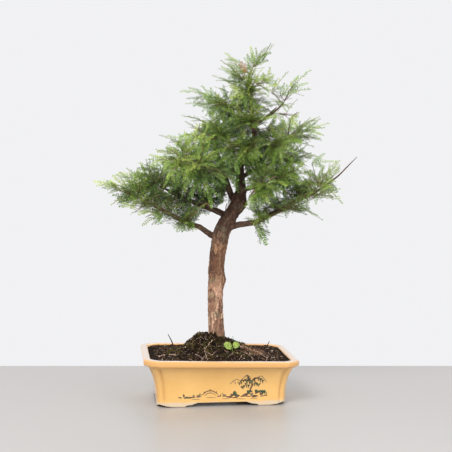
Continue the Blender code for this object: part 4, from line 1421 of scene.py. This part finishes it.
def frond_pixels(place, scale, shares):
    """Where places along a frond show in the picture."""
    return [seen_pixel(place @ Vector((share * scale * FROND_LENGTH, 0, 0))) for share in shares]


def prune(plan, draw):
    """Leave out fronds outside the outline or in a gap, and shorten twigs that leave it."""
    fronds, twigs = [], []
    for place, scale, light in plan["fronds"]:
        pixels = frond_pixels(place, scale, CHECKED_SHARES)
        spared = draw.random() < kept_share(*pixels[1])
        if spared and all(inside_outline(*pixel) for pixel in pixels[1:]) and not any(
                in_gap(*pixel) for pixel in pixels):
            # painted shade: fronds in a shaded part of the picture are darkened
            fronds.append((place, scale, light - SHADE_DEPTH * shade_at(*pixels[1])))
    for place, length, size in plan["twigs"]:
        while length > 4 * MM and not inside_outline(*seen_pixel(place @ Vector((length, 0, 0)))):
            length *= 0.7
        twigs.append((place, length, size))
    plan["fronds"] = fronds
    plan["twigs"] = twigs


def build_shoots(plan, draw, kinds=frond_kinds):
    """Bmesh with the noted twigs and fronds."""
    bm = new_bmesh("tint_and_light", "woody")
    for place, length, size in plan["twigs"]:
        line = [place @ Vector((share * length, 0, 0)) for share in (-0.02, 0.5, 1.0)]
        verts = tube(bm, line, [TWIG_RADIUS * taper * size for taper in (1.0, 0.8, 0.55)], 5)
        add_float(bm, "woody", verts, 1.0)
    for place, scale, light in plan["fronds"]:
        copy = draw.choice(kinds).copy()
        copy.transform(place @ Matrix.Scale(scale, 4))
        tints = np.zeros(len(copy.vertices), np.float32)
        layer = copy.attributes["tint_and_light"].data
        layer.foreach_get("value", tints)
        layer.foreach_set("value", np.clip(tints + light, 0, 1).astype(np.float32))
        bm.from_mesh(copy)
        bpy.data.meshes.remove(copy)
    return bm


print("the crown's outline has", len(CROWN_OUTLINE), "corners and", len(GAPS), "gaps")

# %% [markdown]
# ## Leaf colour
#
# Fronds at the tips are yellow-green, partly as young growth and partly as painted light, and
# those deep inside are painted dark and bluish as shade. Each leaflet's tint value, its own
# small tint plus the painted light of its shoot, picks its place on a colour ramp, and
# mottle keeps neighbours from matching. Stalks are straw green and twigs brown.

# %% Leaf colour
# the ramp runs from painted shade at 0 to painted light at 1
leaf_green = toned_material(
    "leaf_green", srgb(70, 104, 50), srgb(140, 168, 84), 55.0, 0.55, "tint_and_light",
    ((0.0, srgb(14, 28, 18)), (0.25, srgb(46, 76, 32)), (0.5, srgb(102, 140, 52)),
     (0.75, srgb(160, 184, 78)), (1.0, srgb(210, 216, 112))), 0.22, specular=0.25)
tree, colour = tree_and_colour(leaf_green)
stalks = ramp(tree, attribute(tree, "woody"),
              ((0.0, srgb(150, 150, 84)), (0.4, srgb(140, 128, 78)), (1.0, srgb(104, 78, 58))))
is_woody = add_node(tree, "ShaderNodeMapRange", Value=attribute(tree, "woody"), From_Min=0.05,
                    From_Max=0.3)
set_colour(tree, mix_colour(tree, is_woody.outputs["Result"], colour, stalks))
print("leaf colour ready")

# %% [markdown]
# ## Sprays
#
# Each plain spray says where a fine one goes. Its root is the point nearest the wood, its
# tip the point farthest from the root, and the plane it lies in comes from the spread of
# its points. The fine spray has a main shoot, and the larger ones also have two side shoots
# and one that rises, so that the crown is full from every side. The spray that hangs below
# the right branch is a single frond that faces the viewer.

# %% Sprays
def spray_frame(node):
    """Frame of a plain spray, +X from root to tip and +Z up out of its plane, and its length."""
    places = np.array([vert.co for vert in node.data.vertices])
    gaps = [wood_plain_tree.find_nearest(Vector(place))[3] for place in places]
    root = places[int(np.argmin(gaps))]
    tip = places[int(np.argmax(np.linalg.norm(places - root, axis=1)))]
    spread = np.cov((places - places.mean(axis=0)).T)
    across = Vector(np.linalg.eigh(spread)[1][:, 0])
    x_axis = Vector(tip - root).normalized()
    z_axis = (across - x_axis * across.dot(x_axis)).normalized()
    if z_axis.z < 0:
        z_axis = -z_axis
    y_axis = z_axis.cross(x_axis)
    turn = Matrix((x_axis, y_axis, z_axis)).transposed().to_4x4()
    return Matrix.Translation(root) @ turn, float(np.linalg.norm(tip - root))


SHOOT_PAIRS = 6
# share of the main shoot, yaw in radians and dip in radians of each side shoot
SIDE_SHOOTS = ((0.14, 0.80, -0.05), (0.36, -0.80, -0.05), (0.22, -0.30, -0.62))
SIDE_SHOOTS_FROM = 0.70
FULL_SPRAY = 98 * MM
# the frond that hangs below the right branch: its ends in the picture, and its wider leaflets
HANGING_FROND = ((256, 219), (264.5, 243))
hanging_kind = make_frond(3, 8.4 * MM, 3.3 * MM)


def facing_viewer(start, end):
    """Frame at the start with +X to the end and +Z as near to the viewer as that allows."""
    return frame_along(start, end - start, camera_object.location - start)


def toward_front(middle, place):
    """0 behind a middle and 1 well before it."""
    return smoothstep(-20 * MM, 90 * MM, middle.y - place.y)


crown_middle = Vector((*trunk_points[12][:2], 0.50))
spray_fronds = []
for number, name in enumerate(spray_names):
    place, length = spray_frame(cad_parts[name])
    draw = random.Random(500 + number)
    size = length / FULL_SPRAY
    leafy = 0.40 + 0.42 * size
    outward = (place.translation - crown_middle).length
    # painted light: sprays farther from the crown's middle and nearer the front get lighter fronds
    light = 0.25 + 0.22 * smoothstep(0.05, 0.24, outward) + draw.gauss(0, 0.11)
    light += 0.12 * toward_front(crown_middle, place.translation)
    plan = new_plan()
    kinds = frond_kinds
    if name == "spray_hanging":
        kinds = [hanging_kind]
        root = place.translation
        start, end = [pixel_at_depth(pixel, root) for pixel in HANGING_FROND]
        plan["twigs"].append((facing_viewer(root, start), (start - root).length, 1.0))
        scale = (end - start).length / FROND_LENGTH
        plan["fronds"].append((facing_viewer(start, end), scale, 0.38))
    else:
        shoot = length - FROND_LENGTH * leafy * 0.9
        grow_shoot(plan, draw, place, shoot, SHOOT_PAIRS, leafy, light)
        for share, yaw, dip in SIDE_SHOOTS if size > SIDE_SHOOTS_FROM else ():
            side_place = turned(place, share * shoot, yaw, 0.0, dip)
            grow_shoot(plan, draw, side_place, 0.5 * shoot, 2, leafy * 0.86, light - 0.05)
        prune(plan, draw)
    spray_fronds += plan["fronds"]
    bm = build_shoots(plan, draw, kinds)
    piece = finish_piece("leafy_" + name, bm, leaf_green, smooth=False)
    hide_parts(name)
print(len(spray_fronds), "fronds in", len(spray_names), "sprays")

# %% [markdown]
# ## Tips
#
# The crown's silhouette is a row of slender young tips. Each is listed by where it starts
# and ends in the picture. Its depth is the one that brings its start nearest to the wood,
# and a fine twig joins the two. The lists hold places only, and every frond is the same
# kind as the rest of the crown's.

# %% Tips
TIPS = (
    ((256, 66), (263, 50)), ((262, 62), (271, 45)), ((254, 64), (252, 48)), ((250, 70), (246, 58)),
    ((272, 92), (285, 72)), ((282, 96), (294, 75)), ((291, 88), (307, 70)), ((290, 92), (309, 88)),
    ((276, 102), (293, 106)), ((268, 82), (270, 68)), ((284, 128), (298, 113)),
    ((299, 127), (319, 115)), ((306, 131), (326, 124)), ((302, 135), (322, 137)),
    ((295, 141), (315, 145)), ((298, 151), (319, 153)), ((312, 163), (333, 159)),
    ((322, 185), (344, 197)), ((302, 208), (322, 217)), ((318, 181), (331, 166)),
    ((312, 196), (330, 192)), ((162, 213), (143, 222)), ((151, 204), (131, 212)),
    ((129, 193), (109, 201)), ((118, 185), (97, 182)), ((134, 179), (117, 173)),
    ((142, 180), (128, 166)), ((158, 170), (141, 161)), ((170, 164), (152, 155)),
    ((176, 154), (158, 148)), ((183, 144), (163, 134)), ((202, 121), (183, 112)),
    ((204, 104), (185, 101)), ((202, 93), (183, 89)), ((213, 99), (204, 85)),
    ((232, 84), (215, 74)), ((236, 77), (222, 66)), ((236, 72), (222, 58)), ((240, 70), (229, 53)),
    ((194, 222), (178, 229)), ((176, 213), (160, 219)), ((196, 128), (186, 120)),
    ((190, 147), (172, 138)), ((186, 141), (169, 134)), ((217, 129), (201, 118)),
    ((214, 123), (200, 124)), ((236, 82), (219, 77)), ((228, 92), (216, 86)),
    ((133, 197), (112, 194)), ((117, 187), (99, 179)), ((119, 190), (104, 186)))
# fronds that hang before the right branch and beside the trunk, so much nearer than the wood
FRONT_TIPS = (((268, 208), (251, 217)), ((266, 211), (253, 224)), ((270, 210), (261, 225)),
              ((264, 199), (249, 207)), ((266, 193), (250, 200)), ((276, 206), (292, 211)))
FRONT_NEARER = 22 * MM
# number of depths tried for a tip, and the distance between them
TIP_DEPTHS = 13
TIP_DEPTH_STEP = 14 * MM
crown_depth = Vector(trunk_points[10])


def before_crown(pixel, nearer):
    """Point on a camera ray, this much nearer than the crown's middle."""
    return pixel_at_depth(pixel, crown_depth) - pixel_ray(*pixel) * nearer


def twig_between(start, end, size):
    """Entry for a plan: a straight twig from one point to another."""
    return frame_along(start, end - start), (end - start).length, size


draw = random.Random(61)
tips = new_plan()
for start_pixel, end_pixel in TIPS + FRONT_TIPS:
    choices = []
    for step in range(TIP_DEPTHS):
        place = before_crown(start_pixel, (step - TIP_DEPTHS // 2) * TIP_DEPTH_STEP)
        wood, _, _, gap = wood_plain_tree.find_nearest(place)
        choices.append((gap, place, wood))
    gap, start, wood = min(choices, key=lambda choice: choice[0])
    if (start_pixel, end_pixel) in FRONT_TIPS:
        start -= pixel_ray(*start_pixel) * FRONT_NEARER
        gap = (start - wood).length
    end = pixel_at_depth(end_pixel, start) + pixel_ray(*end_pixel) * draw.gauss(0, 8) * MM
    frond = face_light(frame_along(start, end - start), draw.gauss(0, 0.25), TIP_LIGHT)
    scale = (end - start).length / FROND_LENGTH
    if gap > 3 * MM:
        tips["twigs"].append(twig_between(wood, start, 1.0))
    # painted light: each tip frond gets a high light value, the fronds beside it a little less
    tips["fronds"].append((frond, scale, draw.uniform(0.40, 0.60)))
    for side in (-1, 1):
        beside = turned(frond, draw.uniform(-4, 4) * MM, side * draw.uniform(0.5, 0.9),
                        draw.gauss(0, 0.3), draw.gauss(0, 0.1))
        tips["fronds"].append((beside, 0.7 * scale, draw.uniform(0.30, 0.50)))
bm = build_shoots(tips, draw)
finish_piece("young_tips", bm, leaf_green, smooth=False)
print(len(tips["fronds"]), "fronds at the tips")

# %% [markdown]
# ## Inner foliage
#
# Short shoots sprout all along the branches and the upper trunk, which is what makes the
# crown dense. Places are drawn evenly inside the crown's outline, each at a random depth,
# and a shoot grows to each place from the nearest wood that isn't bare. The picture is
# split into small cells, and a shoot is kept only if its cells still want fronds: few at
# the crown's border, where the wall shows through, and many in its middle. Shoots inside
# the crown get less sun, so their fronds are darker.

# %% Inner foliage
INNER_TRIES = 15000
INNER_PIECES = 6
# how far places lie before the crown's middle, how much that varies, and the lengths allowed
INNER_NEARER = 0.018
INNER_DEPTH = 0.075
SHOOT_REACH = (0.012, 0.072)
# below BARE_TOP the trunk is bare, and branches under FULL_CROWN are bare farther out
BARE_TOP = 0.475
FULL_CROWN = 0.385
LOWEST_SHOOT = 0.345
BARE_REACH = 0.046
INNER_REACH = 0.018
CELL_PIXELS = 8
# fronds that a cell wants at the border and in the middle, each frond counted at three places
WANTED_EDGE = 7.0
WANTED_MIDDLE = 44.0
BORDER_PIXELS = (2, 22)
COUNTED_SHARES = (0.2, 0.5, 0.8)


def border_distance(across, down):
    """Distance in pixels from a place in the picture to the crown's outline."""
    distances = []
    for start, end in OUTLINE_SIDES:
        side = Vector(end) - Vector(start)
        offset = Vector((across, down)) - Vector(start)
        share = offset.dot(side) / side.length_squared
        distances.append((offset - side * min(max(share, 0), 1)).length)
    return min(distances)


def depth_in_crown(across, down):
    """0 at the crown's border in the picture and 1 well inside it."""
    return smoothstep(*BORDER_PIXELS, border_distance(across, down))


def cell_of(pixel):
    return int(pixel[0] // CELL_PIXELS), int(pixel[1] // CELL_PIXELS)


def cells_of(fronds):
    """The cells that fronds show in, each frond counted at three places."""
    return [cell_of(pixel) for frond, scale, _ in fronds
            for pixel in frond_pixels(frond, scale, COUNTED_SHARES)]


def wanted_in_cells():
    """How crowded each cell of the picture may get."""
    wanted = {}
    cells = IMAGE_PIXELS // CELL_PIXELS
    for across, down in ((i, j) for i in range(cells) for j in range(cells)):
        middle = ((across + 0.5) * CELL_PIXELS, (down + 0.5) * CELL_PIXELS)
        if inside_outline(*middle):
            crowd = WANTED_EDGE + (WANTED_MIDDLE - WANTED_EDGE) * depth_in_crown(*middle)
            wanted[across, down] = crowd * kept_share(*middle)
    return wanted


def inner_routes(draw, count):
    """Random places inside the crown, each with the nearest wood it can grow from."""
    across, down = zip(*CROWN_OUTLINE)
    routes = []
    for _ in range(count):
        pixel = (draw.uniform(min(across), max(across)), draw.uniform(min(down), max(down)))
        nearer = draw.gauss(INNER_NEARER, INNER_DEPTH)
        if not inside_outline(*pixel):
            continue
        place = before_crown(pixel, nearer)
        wood, _, _, gap = wood_plain_tree.find_nearest(place)
        if SHOOT_REACH[0] < gap < SHOOT_REACH[1]:
            routes.append((wood, place, gap))
    distances = along_trunk(np.array([wood for wood, _, _ in routes]))[0]
    kept = []
    for route, distance in zip(routes, distances):
        height = route[0].z
        reach = INNER_REACH if height > FULL_CROWN else BARE_REACH
        if height > BARE_TOP or (distance > reach and height > LOWEST_SHOOT):
            kept.append(route)
    return kept


wanted = wanted_in_cells()
crowding = Counter(cells_of(spray_fronds + tips["fronds"]))
draw = random.Random(77)
plans = [new_plan() for _ in range(INNER_PIECES)]
shoots = 0
for wood, target, gap in inner_routes(draw, INNER_TRIES):
    # painted light and shade: fronds nearer the front, higher up and near the crown's border are made
    # lighter
    light = -0.05 + 0.22 * draw.random() + 0.28 * toward_front(crown_depth, target)
    light += 0.08 * smoothstep(0.45, 0.75, wood.z)
    light += 0.20 * (1 - depth_in_crown(*seen_pixel(target)))
    size = draw.uniform(0.54, 0.82) * (1 - 0.20 * smoothstep(0.60, 0.68, wood.z))
    length = max(10 * MM, gap - 14 * MM)
    plan = new_plan()
    sprout = frame_along(wood, target - wood)
    grow_shoot(plan, draw, sprout, length, 3 if length > 26 * MM else 2, size, light)
    prune(plan, draw)
    cells = cells_of(plan["fronds"])
    crowd = sum(crowding[cell] for cell in cells)
    if len(plan["fronds"]) < 3 or crowd > sum(wanted.get(cell, 0) for cell in cells):
        continue
    crowding.update(cells)
    for part in ("twigs", "fronds"):
        plans[shoots % INNER_PIECES][part] += plan[part]
    shoots += 1

for number, plan in enumerate(plans):
    bm = build_shoots(plan, draw)
    finish_piece(f"inner_foliage_{number + 1}", bm, leaf_green, smooth=False)
print(shoots, "inner shoots with", sum(len(plan["fronds"]) for plan in plans), "fronds")

# %% [markdown]
# ## Bare and dead twigs
#
# Not every twig is in leaf. A few long bare shoots reach out of the crown, a clump near
# the fork has lost its leaves, and some fronds near the top have died and turned rusty.
# They are listed by where they show in the picture, each at the depth of the wood by it.

# %% Bare and dead twigs
# route in the picture, and in millimetres: radius at its start and end, and how much nearer
# to the viewer it is than the crown's middle
BARE_TWIGS = (
    (((299, 203), (312, 194), (326, 185), (338, 176), (346, 168), (352, 162), (357, 157)),
     2.6, 0.6, 24),
    (((262, 121), (270, 113), (277, 107)), 1.6, 0.9, 24),
    (((284, 128), (291, 119), (298, 112)), 1.3, 0.8, 26),
    (((288, 122), (287, 116)), 0.9, 0.6, 26),
    (((293, 118), (299, 117)), 0.9, 0.6, 26),
    (((262, 62), (267, 50), (271, 43)), 1.0, 0.5, 0),
    (((205, 232), (196, 227), (180, 219), (164, 214)), 2.2, 1.2, 12),
    (((214, 211), (207, 206), (200, 203), (190, 203)), 1.6, 0.8, 30),
    (((222, 213), (226, 207), (227, 203)), 1.2, 0.7, 26),
)
TAN_TWIGS = (
    (((244, 198), (252, 193), (262, 186), (275, 176)), 1.6, 0.7, 62),
    (((250, 194), (258, 190), (266, 190), (272, 192)), 1.0, 0.5, 64),
    (((254, 193), (258, 186), (259, 181)), 0.9, 0.5, 64),
    (((258, 190), (263, 193), (268, 195)), 0.8, 0.45, 64),
    (((268, 158), (276, 154), (284, 152)), 1.0, 0.5, 60),
    (((196, 200), (204, 204), (210, 206)), 1.0, 0.6, 40),
)
# place in the picture, turn in radians and size
DEAD_FRONDS = (((245, 74), 1.72, 0.62), ((245, 74), 1.42, 0.5), ((245, 73), 2.0, 0.5))
DEAD_NEARER = 34 * MM

for name, twigs, dark, light in (("bare_twigs", BARE_TWIGS, srgb(50, 38, 32), srgb(104, 84, 68)),
                                 ("tan_twigs", TAN_TWIGS, srgb(140, 98, 66), srgb(204, 158, 116))):
    bm = bmesh.new()
    for route, start_radius, end_radius, nearer in twigs:
        places = [before_crown(pixel, nearer * MM) for pixel in route]
        places[0] = wood_plain_tree.find_nearest(places[0])[0]
        line = smooth_line(places, 5)
        tube(bm, line, tapered(start_radius * MM, end_radius * MM, len(line)), 6)
    bare_bark = natural_material(name, dark, light, 180.0, 0.8, bump=0.4)
    finish_piece(name, bm, bare_bark)

draw = random.Random(90)
plan = new_plan()
for pixel, turn, size in DEAD_FRONDS:
    place = before_crown(pixel, DEAD_NEARER)
    facing = Matrix.Translation(place) @ Matrix.Rotation(math.radians(70), 4, "X")
    plan["fronds"].append((facing @ Matrix.Rotation(turn, 4, "Z"), size, 0.5))
    plan["twigs"].append(twig_between(wood_plain_tree.find_nearest(place)[0], place, 0.8))
bm = build_shoots(plan, draw)
rust = natural_material(
    "rusty_frond", srgb(108, 80, 42), srgb(170, 132, 78), 200.0, 0.7, specular=0.2)
finish_piece("dead_fronds", bm, rust, smooth=False)
print(len(BARE_TWIGS) + len(TAN_TWIGS), "bare twigs and", len(DEAD_FRONDS), "dead fronds")

# %% [markdown]
# ## Seedling
#
# A seedling has come up beside the trunk: two round leaves on a short stem. Each leaf is
# a grid bent to an oval outline, folded a little along its midrib and given thickness by
# `solidify`. Its veins are shallow furrows in the mesh.

# %% Seedling
SEEDLING_FOOT = (24.5 * MM, -50 * MM)
STEM_RISE = 13 * MM
STEM_RADIUS = 0.8 * MM
LEAF_LIFT = 34
# turn about the stem and roll towards the front in degrees, then stalk, length and width
ROUND_LEAVES = ((23, 60, 4.0 * MM, 15 * MM, 14 * MM), (191, -56, 1.0 * MM, 18 * MM, 17 * MM))


def add_round_leaf(bm, place, length, width, thickness):
    """Oval leaf along +X with a fold at its midrib, furrowed veins and a wavy edge."""
    leaf = bmesh.new()
    bmesh.ops.create_grid(leaf, x_segments=18, y_segments=14, size=1)
    for vert in leaf.verts:
        share = (vert.co.x + 1) / 2
        side = vert.co.y
        reach = math.sqrt(max(0.0, 1 - (2 * share - 1.04) ** 2 / 1.09)) * (1 - 0.10 * share)
        y = side * reach * width / 2 * (1 + 0.05 * abs(side) * math.sin(16 * share))
        vein = abs(math.sin((share * 6.5 - abs(side) * 1.4) * math.pi))
        z = abs(side) * reach * 2.0 * MM - (1 - vein) ** 4 * 0.3 * MM
        z += 0.5 * MM * math.sin(share * 5 + side) - 1.6 * MM * share ** 2
        vert.co = Vector((share * length, y, z))
    bmesh.ops.remove_doubles(leaf, verts=leaf.verts, dist=0.02 * MM)
    bmesh.ops.recalc_face_normals(leaf, faces=leaf.faces)
    bmesh.ops.solidify(leaf, geom=leaf.faces[:], thickness=thickness)
    bmesh.ops.recalc_face_normals(leaf, faces=leaf.faces)
    leaf.transform(place)
    mesh = new_mesh("leaf", leaf)
    bm.from_mesh(mesh)
    bpy.data.meshes.remove(mesh)


def leaf_place(foot, turn, lift):
    """Frame at the foot of a leaf, turned about the stem and lifted."""
    return (Matrix.Translation(foot) @ Matrix.Rotation(turn, 4, "Z")
            @ Matrix.Rotation(-math.radians(lift), 4, "Y"))


foot = pot_centre + Vector((*SEEDLING_FOOT, 0))
foot.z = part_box("seedling")[0].z
top = foot + UP * STEM_RISE
bm = bmesh.new()
stem = smooth_line([foot, foot.lerp(top, 0.5) + Vector((0.6, 0.3, 0)) * MM, top], 5)
tube(bm, stem, [STEM_RADIUS] * len(stem), 8)
for degrees, roll, stalk, length, width in ROUND_LEAVES:
    place = (leaf_place(top - UP * 0.6 * MM, math.radians(degrees), LEAF_LIFT)
             @ Matrix.Rotation(math.radians(roll), 4, "X"))
    tube(bm, [place @ Vector((share * stalk, 0, 0)) for share in (-0.1, 0.5, 1.2)],
         [0.55 * MM, 0.5 * MM, 0.5 * MM], 6)
    place = place @ Matrix.Translation((stalk, 0, 0))
    add_round_leaf(bm, place, length, width, 0.5 * MM)
fresh_green = natural_material(
    "fresh_green", srgb(78, 108, 32), srgb(170, 186, 84), 210.0, 0.5, bump=0.2,
    bump_scales=(500.0, 1800.0))
seedling = finish_piece("round_leaf_seedling", bm, fresh_green)
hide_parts("seedling")
print("seedling with", len(ROUND_LEAVES), "leaves")

# %% Small rosette
# a dark little plant behind the seedling
ROSETTE_PIXEL = (232.5, 343.5)
ROSETTE_LEAVES = 7

bm = bmesh.new()
for number in range(ROSETTE_LEAVES):
    place = leaf_place(seen_ground(*ROSETTE_PIXEL)[0], number * math.tau / ROSETTE_LEAVES,
                       38 + 9 * (number % 3))
    add_round_leaf(bm, place, 9.5 * MM, 5 * MM, 0.45 * MM)
deep_green = natural_material(
    "deep_green", srgb(24, 40, 26), srgb(52, 74, 40), 160.0, 0.5)
finish_piece("small_rosette", bm, deep_green)
print("rosette with", ROSETTE_LEAVES, "leaves")

# %% [markdown]
# ## Painted landscape
#
# Pots like this one carry a small hand-painted view in dark enamel, fired over the glaze.
# This one is made up: distant hills, a willow on a rocky bank, a humped bridge, reeds and
# water lines. Enamel stands slightly proud, so each brush stroke is a flattened tube that
# swells and tapers, laid on the pot's front by a ray. One attribute picks its colour.

# %% Brush strokes
pot_tree = BVHTree.FromPolygons([v.co for v in pot.data.vertices],
                                [list(p.vertices) for p in pot.data.polygons])
STROKE_SIDES = 6
STROKE_HEIGHT = 0.16


def on_front(x, z):
    """Place on the pot's front, x from its middle and z above the table, in millimetres."""
    start = pot_centre + Vector((x * MM, -0.3, z * MM))
    return pot_tree.ray_cast(start, Vector((0, 1, 0)))[0]


def brush(bm, points, width, ink):
    """Stroke through points on the front, thick in its middle and flat on the glaze."""
    line = smooth_line([Vector((x, 0, z)) for x, z in points], 4)
    last = len(line) - 1
    places = [on_front(point.x, point.z) for point in line]
    radii = [width * MM / 2 * (0.35 + 0.65 * math.sin(math.pi * (0.15 + 0.8 * i / last)))
             for i in range(last + 1)]
    verts = tube(bm, places, radii, STROKE_SIDES)
    for vert in verts:
        near = min(places, key=lambda place: (place - vert.co).length)
        vert.co.y = near.y + (vert.co.y - near.y) * STROKE_HEIGHT
    add_float(bm, "ink", verts, ink)


print("front of the pot at mid height:", round(on_front(0, 45).y - pot_centre.y, 4))

# %% [markdown]
# The picture is listed as strokes: hills and rocks one by one, and what repeats, such as
# willow leaves, reeds and water, by short loops with a seeded random draw.

# %% Landscape
BROWN, GREY, OLIVE, DARK = 0.05, 0.35, 0.65, 0.95
draw = random.Random(5)
bm = new_bmesh("ink")

# distant hills, each a broken line
for outline in (((15, 45), (22, 52), (29, 55), (35, 51)), ((36, 52), (43, 59), (50, 63), (56, 58)),
                ((58, 56), (66, 50)), ((64, 54), (71, 59), (77, 61), (83, 55), (89, 47))):
    brush(bm, outline, 1.9, GREY)
for x, z in ((24, 50), (30, 50), (46, 57), (52, 57), (73, 55), (79, 55)):
    brush(bm, ((x, z), (x + 1.4, z - 2.4), (x + 1.8, z - 5.5)), 1.8, GREY)


def dabs(count, middle, spread, length, width, inks, lean=0.3):
    """Short strokes scattered about a middle, mostly level."""
    for _ in range(count):
        x = middle[0] + draw.gauss(0, spread[0])
        z = middle[1] + draw.gauss(0, spread[1])
        half = draw.uniform(0.5, 1.0) * length / 2
        slope = draw.gauss(0, lean) * half
        brush(bm, ((x - half, z - slope), (x, z + 0.4), (x + half, z + slope)),
              width * draw.uniform(1.0, 1.5), draw.choice(inks))


# rocky bank, with shaded feet and bushes
for x, z, wide in ((20, 22, 5), (33, 20, 6), (47, 23, 6), (62, 21, 6), (78, 24, 5)):
    dabs(5, (x, z), (wide * 0.5, 1.8), 7, 3.0, (BROWN, GREY, BROWN))
for x, z in ((16, 19), (28, 18), (40, 19), (54, 18), (68, 19), (84, 20)):
    dabs(3, (x, z), (3.0, 0.8), 10, 1.8, (GREY, BROWN), lean=0.08)
for x, z, wide in ((26, 26, 3.0), (52, 28, 2.5), (70, 30, 4.0), (82, 27, 3.0)):
    dabs(9, (x, z), (wide, 1.8), 4.4, 3.8, (OLIVE, DARK, DARK), lean=0.5)

# willow: trunk, boughs and hanging leaves
brush(bm, ((57, 27), (56, 34), (59, 41), (57, 49)), 3.6, BROWN)
BOUGHS = (((57, 46), (50, 52), (41, 53), (33, 48)), ((57, 47), (62, 55), (71, 57), (80, 51)),
          ((57, 47), (55, 55), (50, 62)), ((58, 42), (66, 46), (74, 43)),
          ((56, 40), (48, 43), (39, 39)))
for bough in BOUGHS:
    brush(bm, bough, 2.0, BROWN)
    for point in smooth_line([Vector((x, 0, z)) for x, z in bough], 2)[1:]:
        dabs(2, (point.x, point.z), (1.6, 1.2), 4.2, 2.6, (DARK, OLIVE, BROWN), lean=0.5)
        x = point.x + draw.gauss(0, 1.2)
        fall = draw.uniform(4.0, 7.5)
        end = (x + draw.gauss(0.6, 0.6), point.z - fall)
        brush(bm, ((x, point.z), (x + 0.5, point.z - fall / 2), end), 2.2,
              draw.choice((OLIVE, DARK, BROWN)))

# humped bridge
brush(bm, ((-40, 24), (-32, 30.5), (-24, 32.5), (-16, 30.5), (-8, 24)), 2.4, BROWN)
brush(bm, ((-35, 23), (-29, 27), (-24, 28.2), (-19, 27), (-13, 23)), 2.0, GREY)
for x in (-36, -24, -12):
    arch = 31.6 - 0.031 * (x + 24) ** 2
    brush(bm, ((x, arch), (x + 0.2, arch + 2.0), (x, arch + 4.2)), 2.0, BROWN)

# low shore at the left, reeds and water
dabs(9, (-69, 19), (5.0, 1.0), 9, 2.4, (BROWN, DARK, GREY), lean=0.12)
for count, x, wide in ((6, -48, 5.0), (5, 4, 4.0)):
    dabs(count, (x, 21), (wide, 0.9), 8, 2.2, (BROWN, GREY), lean=0.12)
for x in (-77, -74, -58, -45, -42, -3, 2, 88):
    tall = draw.uniform(5, 9)
    lean = draw.gauss(0, 1.6)
    brush(bm, ((x, 20), (x + lean * 0.4, 20 + tall * 0.6), (x + lean, 20 + tall)), 1.9,
          draw.choice((OLIVE, DARK, BROWN)))
for x, z, wide in ((-52, 15.5, 16), (-22, 18.5, 20), (8, 15.5, 16), (38, 14.5, 18), (64, 15, 14)):
    wave = ((x - wide / 2, z), (x - wide / 6, z + 0.3), (x + wide / 6, z - 0.2), (x + wide / 2, z))
    brush(bm, wave, 1.3, GREY)

enamel = toned_material(
    "enamel", srgb(70, 62, 54), srgb(92, 84, 70), 400.0, 0.35, "ink",
    ((0.0, srgb(104, 70, 50)), (0.2, srgb(96, 68, 52)), (0.36, srgb(128, 112, 92)),
     (0.5, srgb(112, 106, 84)), (0.65, srgb(78, 100, 58)), (1.0, srgb(40, 68, 50))), 0.15)
finish_piece("painted_landscape", bm, enamel)
print("landscape painted")

# %% [markdown]
# ## Finish
#
# The last step removes the frond meshes that served only as patterns for copies.

# %% Finish
for kind in [*frond_kinds, hanging_kind]:
    bpy.data.meshes.remove(kind)
